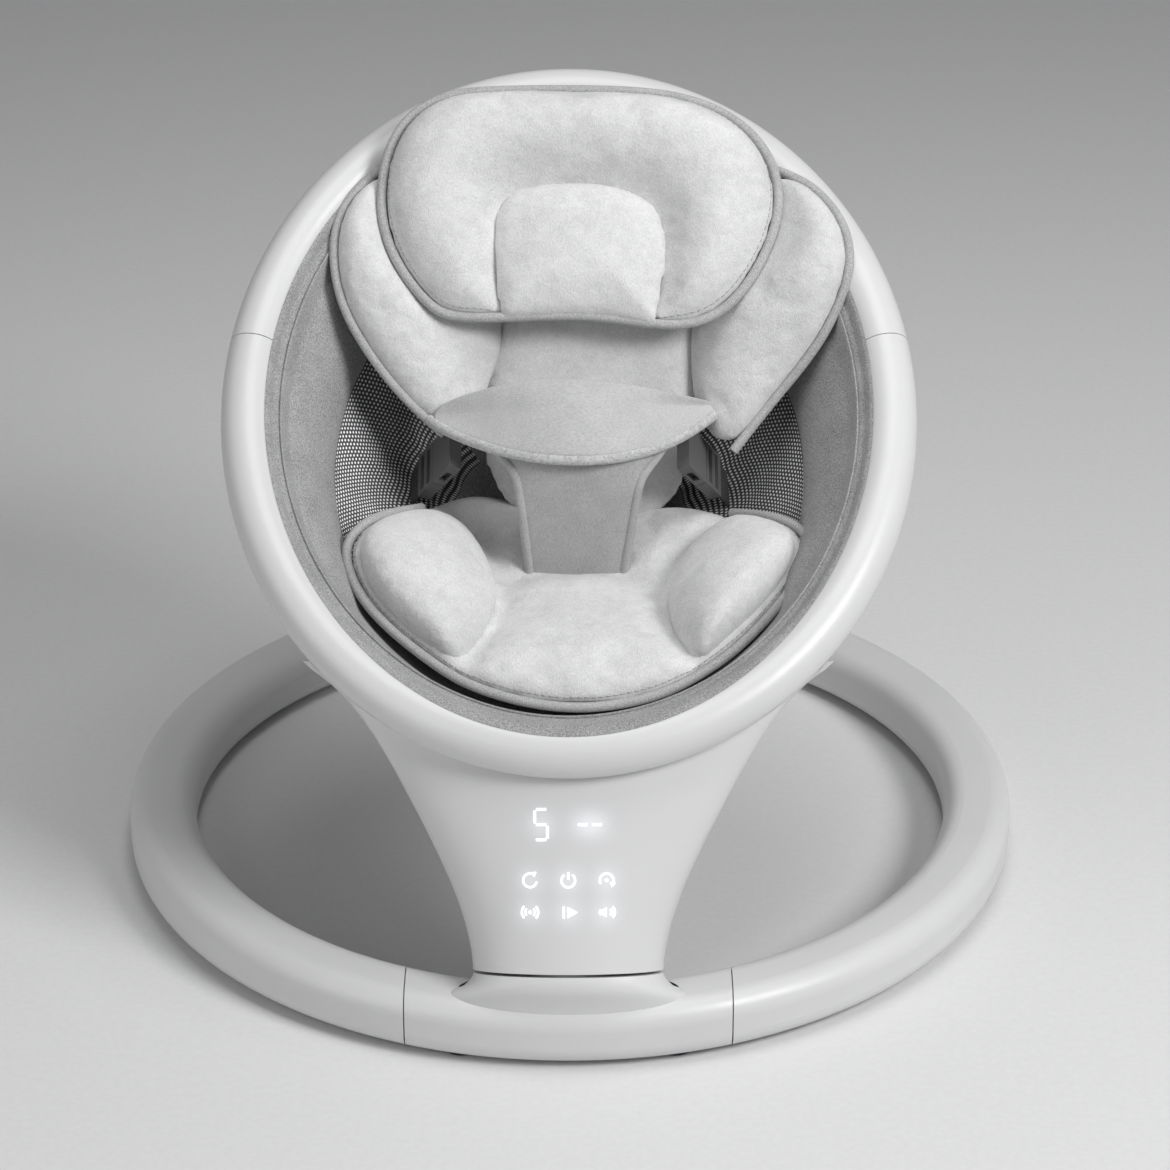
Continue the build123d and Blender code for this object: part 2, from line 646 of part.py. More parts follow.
web_half = webbing_width / 2
slot_half = web_half + 0.4
channel_start = socket_length + 4.0
channel_half = webbing_thickness / 2 + 0.4
plug_end = socket_length + plug_length
socket = block(0, socket_length, -socket_half, socket_half, -socket_half_thick, socket_half_thick)
room_half = socket_half - 2.5
room_half_thick = socket_half_thick - socket_wall
socket -= block(5, socket_length + 1, -room_half, room_half, -room_half_thick, room_half_thick)
plug = block(
    socket_length + plug_gap, plug_end, -socket_half, socket_half, -socket_half_thick, socket_half_thick
)
for bar_start in (channel_start, channel_start + 9.0):
    plug -= block(bar_start, bar_start + 5, -slot_half, slot_half, -far, far)
plug -= block(channel_start, plug_end + 1, -slot_half, slot_half, -channel_half, channel_half)
for edge in (-1, 1):
    window_y = edge * socket_half
    socket -= block(9, 20, window_y - 4, window_y + 4, -room_half_thick, room_half_thick)
for prong_y, length in ((-prong_spread, prong_length), (0, guide_length), (prong_spread, prong_length)):
    prong = block(-length, 1, -prong_half_width, prong_half_width, -prong_half_thick, prong_half_thick)
    plug += Pos(socket_length, prong_y, 0) * prong
web_start = channel_start + release_travel + plug_gap
web = block(
    web_start, web_start + webbing_reach, -web_half, web_half, -webbing_thickness / 2, webbing_thickness / 2
)
for side, name in ((-1, "left"), (1, "right")):
    half_turn = 0 if side == 1 else 180
    buckle = hoop * Pos(side * 76, -2, -49.4) * Rot(Y=side * buckle_lean) * Rot(Z=half_turn)
    save(buckle * socket, "buckle_socket_" + name)
    save(buckle * plug, "buckle_plug_" + name)
    save((buckle * web) & (hoop * pad_room), "webbing_" + name)
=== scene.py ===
import bpy
import bmesh
import math
from bmesh.types import BMEdge, BMFace, BMVert
from mathutils import Matrix, Vector, geometry, noise
from mathutils.bvhtree import BVHTree
from mathutils.kdtree import KDTree


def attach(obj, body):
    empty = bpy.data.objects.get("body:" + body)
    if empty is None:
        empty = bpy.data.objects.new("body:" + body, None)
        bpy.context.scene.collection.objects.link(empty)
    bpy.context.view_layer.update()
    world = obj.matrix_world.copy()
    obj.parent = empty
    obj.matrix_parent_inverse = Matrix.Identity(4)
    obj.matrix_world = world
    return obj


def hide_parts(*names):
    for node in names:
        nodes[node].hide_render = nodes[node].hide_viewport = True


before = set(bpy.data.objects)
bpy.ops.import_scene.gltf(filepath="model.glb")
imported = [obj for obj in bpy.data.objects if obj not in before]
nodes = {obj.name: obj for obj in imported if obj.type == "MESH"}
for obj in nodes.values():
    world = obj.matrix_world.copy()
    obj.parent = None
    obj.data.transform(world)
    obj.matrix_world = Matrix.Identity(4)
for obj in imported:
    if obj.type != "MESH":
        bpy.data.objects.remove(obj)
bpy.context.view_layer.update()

mm = 0.001


def tiltedPlane(spot, degrees):
    return Matrix.Translation(spot) @ Matrix.Rotation(math.radians(degrees), 4, "X") @ Matrix.Scale(mm, 4)


# soft pieces are laid out in the tilted hoop (u, v, n in mm), the display in the neck (x, depth, height)
hoopPlane = tiltedPlane((0, -0.0617, 0.3466), 37)
neckPlane = tiltedPlane((0, -0.286, 0.053), -25)
seatUp = (hoopPlane.to_3x3() @ Vector((0, 0, 1))).normalized()


def setInputs(node, **values):
    for label, value in values.items():
        node.inputs[label.replace("_", " ")].default_value = value


def freshMaterial(name, roughness, **values):
    mat = bpy.data.materials.new(name)
    mat.use_nodes = True
    tree = mat.node_tree
    shader = tree.nodes["Principled BSDF"]
    setInputs(shader, Roughness=roughness, **values)
    return mat, shader, tree.nodes.new("ShaderNodeTexCoord").outputs["Object"]


def addNoise(vector, scale, detail=2.0, stretch=None, rough=0.5, distort=0.0):
    tree = vector.id_data
    if stretch:  # threads: the noise is drawn out along one axis
        mapping = tree.nodes.new("ShaderNodeMapping")
        setInputs(mapping, Scale=stretch)
        tree.links.new(vector, mapping.inputs["Vector"])
        vector = mapping.outputs["Vector"]
    tex = tree.nodes.new("ShaderNodeTexNoise")
    setInputs(tex, Scale=scale, Detail=detail, Roughness=rough, Distortion=distort)
    tree.links.new(vector, tex.inputs["Vector"])
    return tex.outputs["Fac"]


def addMath(kind, first, second=None, third=None):
    tree = first.id_data
    step = tree.nodes.new("ShaderNodeMath")
    step.operation = kind
    for socket, value in zip(step.inputs, (first, second, third)):
        if value is None:
            continue
        if isinstance(value, (int, float)):
            socket.default_value = value
        else:
            tree.links.new(value, socket)
    return step.outputs[0]


def addRamp(source, stops):
    tree = source.id_data
    ramp = tree.nodes.new("ShaderNodeValToRGB")
    while len(ramp.color_ramp.elements) < len(stops):
        ramp.color_ramp.elements.new(0.5)
    for element, (spot, grey) in zip(ramp.color_ramp.elements, stops):
        element.position = spot
        element.color = (grey, grey, grey * 1.005, 1)
    tree.links.new(source, ramp.inputs["Fac"])
    return ramp.outputs["Color"]


def addTint(shader, source, stops):
    shader.id_data.links.new(addRamp(source, stops), shader.inputs["Base Color"])


def addBump(shader, layers):
    tree, normal = shader.id_data, None
    for height, strength, distance in layers:
        bump = tree.nodes.new("ShaderNodeBump")
        setInputs(bump, Strength=strength, Distance=distance)
        tree.links.new(height, bump.inputs["Height"])
        if normal is not None:
            tree.links.new(normal, bump.inputs["Normal"])
        normal = bump.outputs["Normal"]
    tree.links.new(normal, shader.inputs["Normal"])


def addRange(source, low, high):
    tree = source.id_data
    span = tree.nodes.new("ShaderNodeMapRange")
    setInputs(span, From_Min=0.3, From_Max=0.7, To_Min=low, To_Max=high)
    tree.links.new(source, span.inputs["Value"])
    return span.outputs["Result"]


def mouldedPlastic(name, grey, roughness, gloss=0.5, halo=()):
    # satin moulding: faint cloudiness, a spark-eroded grain and rubbed patches
    mat, shader, coords = freshMaterial(name, roughness, Specular_IOR_Level=gloss)
    tree = mat.node_tree
    cloud = addNoise(coords, scale=11.0, detail=3.0)
    addTint(shader, cloud, ((0.3, grey * 0.965), (0.7, grey)))
    rubbed = addNoise(coords, scale=38.0, detail=4.0, rough=0.65)
    tree.links.new(addRange(rubbed, roughness * 0.88, roughness * 1.15), shader.inputs["Roughness"])
    grain = addNoise(coords, scale=2400.0)
    addBump(shader, ((grain, 0.12, 0.00012), (cloud, 0.05, 0.0006)))
    if halo:
        glow = None
        for spot, reach, strength in halo:
            gap = tree.nodes.new("ShaderNodeVectorMath")
            gap.operation = "DISTANCE"
            gap.inputs[1].default_value = spot
            tree.links.new(coords, gap.inputs[0])
            near = addMath("DIVIDE", gap.outputs["Value"], reach)
            near = addMath("MULTIPLY", near, near)
            near = addMath("EXPONENT", addMath("MULTIPLY", near, -1.0))
            near = addMath("MULTIPLY", near, strength)
            glow = near if glow is None else addMath("ADD", glow, near)
        tree.links.new(glow, shader.inputs["Emission Strength"])
        setInputs(shader, Emission_Color=(0.86, 0.93, 1.0, 1))
    return mat


def plushCloth(name, dark, light):
    # short brushed pile: lighter and darker strokes, single hairs, a soft sheen
    mat, shader, coords = freshMaterial(name, 0.95, Sheen_Weight=0.35, Sheen_Roughness=0.45,
                                        Specular_IOR_Level=0.15)
    stroke = addNoise(coords, scale=26.0, detail=5.0, rough=0.62, distort=0.5)
    patch = addNoise(coords, scale=120.0, detail=4.0, rough=0.6, distort=0.8)
    hair = addNoise(coords, scale=1300.0, stretch=(1.0, 0.45, 0.6))
    tone = addMath("MULTIPLY_ADD", stroke, 0.30, addMath("MULTIPLY", patch, 0.28))
    tone = addMath("MULTIPLY_ADD", hair, 0.42, tone)
    addTint(shader, tone, ((0.36, dark), (0.62, light)))
    addBump(shader, ((hair, 0.55, 0.0007), (patch, 0.3, 0.0016), (stroke, 0.16, 0.003)))
    return mat


def marlCloth(name, dark, light, rib=0.5):
    # grey marl: crossing light and dark yarns, each a short fleck
    mat, shader, coords = freshMaterial(name, 0.92, Sheen_Weight=0.15, Sheen_Roughness=0.5,
                                        Specular_IOR_Level=0.2)
    across = addNoise(coords, scale=1900.0, stretch=(0.42, 1.0, 1.0), rough=0.6)
    along = addNoise(coords, scale=1900.0, stretch=(1.0, 0.5, 0.42), rough=0.6)
    shade = addNoise(coords, scale=40.0, detail=3.0)
    halves = [addMath("MULTIPLY", thread, 0.5) for thread in (across, along)]
    yarn = addMath("ADD", *halves)
    tone = addMath("MULTIPLY_ADD", addMath("SUBTRACT", shade, 0.5), 0.12, yarn)
    addTint(shader, tone, ((0.40, dark), (0.5, (dark + light) / 2), (0.60, light)))
    addBump(shader, ((yarn, rib, 0.0006), (shade, 0.1, 0.002)))
    return mat


def threadCloth(name, dark, light, stretch, scale, bump=0.4, sheen=0.1, rough=0.85):
    # one thread direction stands out: straps, webbing and the brushed waist pad
    mat, shader, coords = freshMaterial(name, rough, Sheen_Weight=sheen, Specular_IOR_Level=0.2)
    thread = addNoise(coords, scale, detail=3.0, stretch=stretch)
    soft = addNoise(coords, scale=60.0, detail=3.0)
    tone = addMath("MULTIPLY_ADD", addMath("SUBTRACT", soft, 0.5), 0.3, thread)
    addTint(shader, tone, ((0.35, dark), (0.65, light)))
    addBump(shader, ((thread, bump, 0.0004), (soft, 0.08, 0.001)))
    return mat


def fleeceCloth(name, dark, light):
    # teased curls, no thread to be seen
    mat, shader, coords = freshMaterial(name, 1.0, Sheen_Weight=0.4, Specular_IOR_Level=0.1)
    curl = addNoise(coords, scale=420.0, detail=4.0, rough=0.7, distort=1.2)
    addTint(shader, curl, ((0.35, dark), (0.62, light)))
    addBump(shader, ((curl, 0.9, 0.0016),))
    return mat


def netCloth(name, pitch):
    # spacer mesh: rows of round holes, every second row shifted by half a hole; the holes are painted near
    # white as painted light seen through them
    mat, shader, coords = freshMaterial(name, 0.7, Specular_IOR_Level=0.25)
    split = mat.node_tree.nodes.new("ShaderNodeSeparateXYZ")
    mat.node_tree.links.new(coords.node.outputs["UV"], split.inputs["Vector"])
    down = addMath("DIVIDE", split.outputs["Y"], pitch * 0.9)
    row = addMath("FLOOR", down)
    shift = addMath("MULTIPLY", addMath("MODULO", row, 2.0), 0.5)
    over = addMath("ADD", addMath("DIVIDE", split.outputs["X"], pitch), shift)
    px = addMath("SUBTRACT", addMath("FRACT", over), 0.5)
    py = addMath("SUBTRACT", addMath("FRACT", down), 0.5)
    squares = [addMath("MULTIPLY", side, side) for side in (px, py)]
    reach = addMath("SQRT", addMath("ADD", *squares))
    blotch = addNoise(coords, scale=55.0, detail=3.0)
    edge = addMath("MULTIPLY_ADD", blotch, 0.10, 0.29)
    paintedHoleLight = addMath("SUBTRACT", edge, reach)
    paintedHoleLight = addMath("MULTIPLY", paintedHoleLight, 14.0)
    # painted light: the holes are coloured near white for the light that shines through them, the yarn
    # between them dark
    addTint(shader, paintedHoleLight, ((0.0, 0.08), (0.45, 0.32), (1.0, 0.95)))
    addBump(shader, ((reach, 0.5, 0.0006),))
    return mat


def plainMetal(name, grey, roughness):
    mat, shader, coords = freshMaterial(name, roughness, Metallic=1.0)
    brushed = addNoise(coords, scale=700.0, stretch=(1.0, 1.0, 0.08))
    addTint(shader, brushed, ((0.3, grey * 0.85), (0.7, grey)))
    addBump(shader, ((brushed, 0.08, 0.0001),))
    return mat


def glowing(name, strength):
    mat, shader, coords = freshMaterial(name, 0.4, Emission_Strength=strength)
    spread = addNoise(coords, scale=180.0, detail=1.0)
    mat.node_tree.links.new(addRamp(spread, ((0.2, 0.86), (0.8, 0.98))), shader.inputs["Emission Color"])
    setInputs(shader, Base_Color=(0.8, 0.84, 0.88, 1))
    return mat


whitePlastic = mouldedPlastic("whitePlastic", 0.70, 0.36)
tubePlastic = mouldedPlastic("tubePlastic", 0.70, 0.34)
buttonPlastic = mouldedPlastic("buttonPlastic", 0.60, 0.42)
darkPlastic = mouldedPlastic("darkPlastic", 0.045, 0.42)
bucklePlastic = mouldedPlastic("bucklePlastic", 0.13, 0.38)
innerPlastic = mouldedPlastic("innerPlastic", 0.30, 0.5)
bushPlastic = mouldedPlastic("bushPlastic", 0.55, 0.45)
footRubber = mouldedPlastic("footRubber", 0.06, 0.8, gloss=0.2)
boardPlastic = mouldedPlastic("boardPlastic", 0.10, 0.5)
guidePlastic = mouldedPlastic("guidePlastic", 0.75, 0.25)
plush = plushCloth("plush", 0.57, 0.78)
marl = marlCloth("marl", 0.20, 0.49)
marlPiping = marlCloth("marlPiping", 0.31, 0.55, rib=0.35)
net = netCloth("net", 2.55 * mm)
waistKnit = threadCloth("waistKnit", 0.44, 0.56, (0.25, 1.0, 1.0), 1500.0, bump=0.25, sheen=0.2)
fleece = fleeceCloth("fleece", 0.42, 0.72)
strapWeave = threadCloth("strapWeave", 0.36, 0.50, (1.0, 0.3, 0.3), 2300.0, bump=0.3)
webbing = threadCloth("webbing", 0.035, 0.10, (0.12, 1.0, 1.0), 1500.0, bump=0.6)
seamThread = threadCloth("seamThread", 0.34, 0.5, (1.0, 1.0, 1.0), 2500.0)
steel = plainMetal("steel", 0.6, 0.3)
darkSteel = plainMetal("darkSteel", 0.25, 0.4)
copper = plainMetal("copper", 0.5, 0.35)
symbolGlow = glowing("symbolGlow", 1.0)
print("materials ready")


def roundOff(piece, levels):
    rounding = piece.modifiers.new("rounding", "SUBSURF")
    rounding.levels = rounding.render_levels = levels


def thicken(piece, thick):
    wall = piece.modifiers.new("wall", "SOLIDIFY")
    wall.thickness = thick * mm
    wall.offset = 0


def dressMesh(mesh, name, materials):
    mesh.name = name
    for mat in materials:
        mesh.materials.append(mat)
    for polygon in mesh.polygons:
        polygon.use_smooth = True


def placeMesh(name, mesh, materials, levels=0):
    dressMesh(mesh, name, materials)
    piece = bpy.data.objects.new(name, mesh)
    bpy.context.scene.collection.objects.link(piece)
    if levels:
        roundOff(piece, levels)
    return piece


def finishPiece(name, bm, materials, place, levels=0):
    bmesh.ops.transform(bm, matrix=place, verts=bm.verts)
    bmesh.ops.recalc_face_normals(bm, faces=bm.faces)
    mesh = bpy.data.meshes.new(name)
    bm.to_mesh(mesh)
    bm.free()
    return placeMesh(name, mesh, materials, levels)


def softPart(piece, slot, fill=None, *stands):
    if stands:
        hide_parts(*stands)
    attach(piece, "seat")
    return piece


def shownMesh(piece):
    graph = bpy.context.evaluated_depsgraph_get()
    return bpy.data.meshes.new_from_object(piece.evaluated_get(graph))


def curveMesh(points, closed, fine, radius=0.0):
    # a smooth run through control points; with a radius it is a round tube
    data = bpy.data.curves.new("run", "CURVE")
    data.dimensions = "3D"
    spline = data.splines.new("NURBS")
    spline.points.add(len(points) - 1)
    for point, spot in zip(spline.points, points):
        point.co = (*spot, 1.0)
    spline.use_cyclic_u = closed
    spline.order_u = 4
    spline.use_endpoint_u = not closed
    spline.resolution_u = fine
    data.bevel_depth = radius
    data.bevel_resolution = 4
    data.use_fill_caps = True
    holder = bpy.data.objects.new("run", data)
    bpy.context.scene.collection.objects.link(holder)
    mesh = shownMesh(holder)
    bpy.data.objects.remove(holder)
    bpy.data.curves.remove(data)
    return mesh


def smoothRun(points, closed=True, fine=6):
    mesh = curveMesh(points, closed, fine)
    run = [vert.co.copy() for vert in mesh.vertices]
    bpy.data.meshes.remove(mesh)
    return run


# cord piping: how far it stands outside its seam and above it, in mm, and how finely it bends
cord = {"out": 2.0, "up": 1.2, "fine": 8}


def pipingRun(name, points, radius, slot="melange", closed=True, material=marlPiping, middle=None):
    if middle:
        centre, raised = Vector(middle), Vector((0, 0, cord["up"]))
        spots = [Vector(spot) for spot in points]
        points = [spot + (spot - centre).normalized() * cord["out"] + raised for spot in spots]
    mesh = curveMesh(points, closed, cord["fine"], radius)
    mesh.transform(hoopPlane)
    softPart(placeMesh(name, mesh, [material]), slot)


def madeOf(made, kind):
    return [item for item in made["geom"] if isinstance(item, kind)]


def rimOf(made):
    # the new verts of an extruded rim and the edges between them
    ring = set(madeOf(made, BMVert))
    return ring, [edge for edge in madeOf(made, BMEdge) if all(vert in ring for vert in edge.verts)]


# the tub that the pads lie in, each section as depth, half width, half length and centre
tub = {
    "sections": (
        (8, 189.5, 227.5, 0), (-30, 178.5, 210.5, -4), (-68, 155.5, 179.5, -14),
        (-104, 121.5, 135.5, -26), (-128, 77.5, 87.5, -38), (-137, 39.5, 45.5, -42),
    ),
    "rings": (
        6, 2, -3, -8, -11, -14, -19, -27, -36, -45, -53, -58, -61, -63.5, -67, -73, -80, -88, -96, -104,
        -111, -118, -123, -127, -130, -133, -135.5, -137,
    ),
    "segments": 240, "ease": 9.0, "wall": 3.0,
    "panelHigh": -11, "panelLow": -63, "puff": 10.0, "frontPuff": 1.0,   # quilted panels below the rim
    "seams": (218, 321), "seamReach": 9.0, "square": 0.6, "uneven": 0.22, "unevenScale": 0.03,
    "netLow": -124, "netFront": -34, "netRear": 42,   # the net's depth, and the angles it spans on each side
    "netCentre": -25, "netTurn": 0.128, "netDrop": 0.00125,   # how its rows of holes are laid out
    "folds": 24, "foldDeep": 1.9, "foldDrop": 14, "foldFrom": 40, "wander": 1.5, "wanderScale": 0.02,
}
tubTop, tubBottom = tub["sections"][0][0], tub["sections"][-1][0]


def tubSection(depth):
    rows = tub["sections"]
    for upper, lower in zip(rows, rows[1:]):
        if depth >= lower[0]:
            break
    share = (upper[0] - depth) / (upper[0] - lower[0])
    return Vector(upper[1:]).lerp(Vector(lower[1:]), share)


def tubSize(depth):
    # eased between the sections, so that the bowl has no facets
    ease = min(tub["ease"], max(0.0, depth - tubBottom))
    return (tubSection(depth + ease) + 2 * tubSection(depth) + tubSection(depth - ease)) / 4


def tubFloor(u, v):
    # depth of the tub's inside below a point
    low, high = tubBottom, tubTop
    for halving in range(24):
        middle = (low + high) / 2
        width, length, centre = tubSize(middle)
        if (u / width) ** 2 + ((v - centre) / length) ** 2 < 1:
            high = middle
        else:
            low = middle
    return high


def makeLining():
    bm = bmesh.new()
    made = bmesh.ops.create_circle(bm, segments=tub["segments"], radius=1.0)
    rows = tub["rings"]
    start = (*tubSize(rows[0]), rows[0])
    bmesh.ops.scale(bm, vec=(start[0], start[1], 1), verts=made["verts"])
    bmesh.ops.translate(bm, vec=(0, start[2], rows[0]), verts=made["verts"])
    rim, outside = list(bm.edges), set()
    for wall in (0.0, tub["wall"]):  # down the inside from the rim, then down the outside
        edges, old = rim, start
        for row in rows[1:]:
            width, length, centre = tubSize(row)
            new = (width + wall, length + wall, centre, row - wall)
            ring, edges = rimOf(bmesh.ops.extrude_edge_only(bm, edges=edges))
            toCentre = Matrix.Translation((0, -old[2], -old[3]))
            bmesh.ops.scale(bm, vec=(new[0] / old[0], new[1] / old[1], 1), space=toCentre, verts=list(ring))
            bmesh.ops.translate(bm, vec=(0, new[2] - old[2], new[3] - old[3]), verts=list(ring))
            old = new
            if wall:
                outside.update(ring)
        bmesh.ops.contextual_create(bm, geom=edges)
    bmesh.ops.poke(bm, faces=[face for face in bm.faces if len(face.verts) > 4])
    grid = bm.loops.layers.uv.new("UVMap")
    for face in bm.faces:
        middle = face.calc_center_median()
        width, length, centre = tubSize(middle.z)
        across = math.degrees(math.atan2((middle.y - centre) / length, abs(middle.x) / width))
        below = tub["netLow"] < middle.z < tub["panelLow"]
        face.material_index = 1 if below and tub["netFront"] < across < tub["netRear"] else 0
        for loop in face.loops:
            spot = loop.vert.co
            turn = math.atan2(spot.x, -(spot.y - tub["netCentre"]))
            loop[grid].uv = (turn * tub["netTurn"], spot.z * tub["netDrop"])
    for vert in bm.verts:
        if vert in outside:
            continue
        width, length, centre = tubSize(vert.co.z)
        angle = math.degrees(math.atan2((vert.co.y - centre) / length, vert.co.x / width)) % 360
        away = Vector((vert.co.x, vert.co.y - centre, 0))
        away.normalize()
        share = (vert.co.z - tub["panelHigh"]) / (tub["panelLow"] - tub["panelHigh"])
        if 0 < share < 1:  # quilted panels swell between the rim and their lower seam
            left, right = tub["seams"]
            gap = min(abs(angle - left), abs(angle - right))
            swell = tub["puff"] * min(1.0, (gap / tub["seamReach"]) ** tub["square"])
            if left < angle < right:  # the front panel is flat, so the cushion stands clear of it
                swell = tub["frontPuff"]
            lumps = 1 + tub["uneven"] * noise.noise(vert.co * tub["unevenScale"])
            swell *= math.sin(math.pi * share) ** tub["square"] * lumps
            vert.co -= away * swell
        elif vert.co.z < tub["panelLow"] and abs(vert.co.x) > tub["foldFrom"]:  # the net hangs in folds
            drop = min(1.0, (tub["panelLow"] - vert.co.z) / tub["foldDrop"])
            shift = tub["wander"] * noise.noise(vert.co * tub["wanderScale"])
            wave = math.sin(math.radians(angle) * tub["folds"] + shift)
            vert.co -= away * (tub["foldDeep"] * drop * (0.5 + 0.5 * wave) ** 2)
    piece = finishPiece("seatLining", bm, [marl, net], hoopPlane, levels=1)
    softPart(piece, "melange", 0.3, "seat_sling", "mesh_panel_left", "mesh_panel_right")
    return piece


lining = makeLining()

# fabric sleeve: wraps the inner side of the hoop and is stitched down to the lining
hem = {
    "tube": (211, 249), "segments": 200, "steps": 6, "cover": 18.0, "tuck": 0.8,
    "edgeAngle": 44, "frontAngle": 84, "lowAngle": 16,
    "inside": ((20.0, 4.5), (22.6, 1.0), (23.8, -4.0), (24.2, -9.0), (23.6, -12.0), (22.0, -13.0)),
    "stitch": (24.9, -7.5), "stitchGap": 5.0, "stitchLong": 3.4,
}


def hoopOffset(turn, inward, depth):
    # a point measured in from the hoop's centre line
    wide, long = hem["tube"]
    spot = Vector((wide * math.cos(turn), long * math.sin(turn), 0))
    away = Vector((math.cos(turn) / wide, math.sin(turn) / long, 0)).normalized()
    return spot - away * inward + Vector((0, 0, depth))


def makeHem():
    bm = bmesh.new()
    ring = bmesh.ops.create_circle(bm, segments=hem["segments"], radius=1.0)["verts"]
    turns = {vert: math.atan2(vert.co.y, vert.co.x) for vert in ring}
    edges, high = list(bm.edges), hem["edgeAngle"]
    for row in range(hem["steps"] + len(hem["inside"])):
        if row:
            ring, edges = rimOf(bmesh.ops.extrude_edge_only(bm, edges=edges))
            for vert in ring:
                joined = [edge.other_vert(vert) for edge in vert.link_edges]
                turns[vert] = next(turns[other] for other in joined if other not in ring)
        for vert in ring:
            turn = turns[vert]
            if row < hem["steps"]:
                reach = high + (hem["frontAngle"] - high) * max(0.0, -math.sin(turn)) ** 3
                angle = math.radians(reach + (hem["lowAngle"] - reach) * row / (hem["steps"] - 1))
                radius = hem["cover"] - (hem["tuck"] if row == 0 else 0.0)
                vert.co = hoopOffset(turn, radius * math.cos(angle), radius * math.sin(angle))
            else:
                vert.co = hoopOffset(turn, *hem["inside"][row - hem["steps"]])
    softPart(finishPiece("liningHem", bm, [marl], hoopPlane, levels=1), "melange")


# thread in mm: its half width, and the row beside a cord, laid on from above
stitch = {"radius": 0.42, "gap": 4.6, "long": 3.2, "inset": 3.2, "above": 60, "lift": 0.1}


def stitchRow(name, run, gap, long):
    # one short length of thread for every stitch along a run of world points
    bm = bmesh.new()
    thread = stitch["radius"] * mm
    travelled, due = 0.0, 0.0
    for start, end in zip(run, run[1:]):
        step = (end - start).length
        while step > 0 and due <= travelled + step:
            spot = start.lerp(end, (due - travelled) / step)
            made = bmesh.ops.create_cone(bm, cap_ends=True, segments=6, radius1=thread, radius2=thread,
                                         depth=long * mm)
            turn = (end - start).to_track_quat("Z", "Y").to_matrix().to_4x4()
            bmesh.ops.transform(bm, matrix=Matrix.Translation(spot) @ turn, verts=made["verts"])
            due += gap * mm
        travelled += step
    softPart(finishPiece(name, bm, [seamThread], Matrix.Identity(4)), "melange")


makeHem()
hemRun = [hoopPlane @ hoopOffset(math.radians(step), *hem["stitch"]) for step in range(-180, 181, 2)]
stitchRow("hemStitches", hemRun, hem["stitchGap"], hem["stitchLong"])
print("lining and hem made")

padRings = (0.97, 0.94, 0.905, 0.865, 0.82, 0.77, 0.715, 0.655, 0.59, 0.525, 0.46, 0.395, 0.33, 0.265,
            0.2, 0.135, 0.07)
# how every pad is sewn: the cover's curves, what a pad has if it says nothing else, and clearances in mm
sewing = {
    "slope": 2.2, "domeEdge": 2.3, "dome": 0.52, "crease": 0.85, "steep": 0.62, "uneven": 0.07,
    "lumps": 0.035, "soften": 3, "softShare": 0.95, "pullReach": 14, "bottomGap": 2.0, "topGap": 4.0,
}


def flatSpot(spot):
    return Vector((spot[0], spot[1], 0))


def treeOf(spots):
    tree = KDTree(max(1, len(spots)))
    for index, spot in enumerate(spots):
        tree.insert(spot, index)
    tree.balance()
    return tree


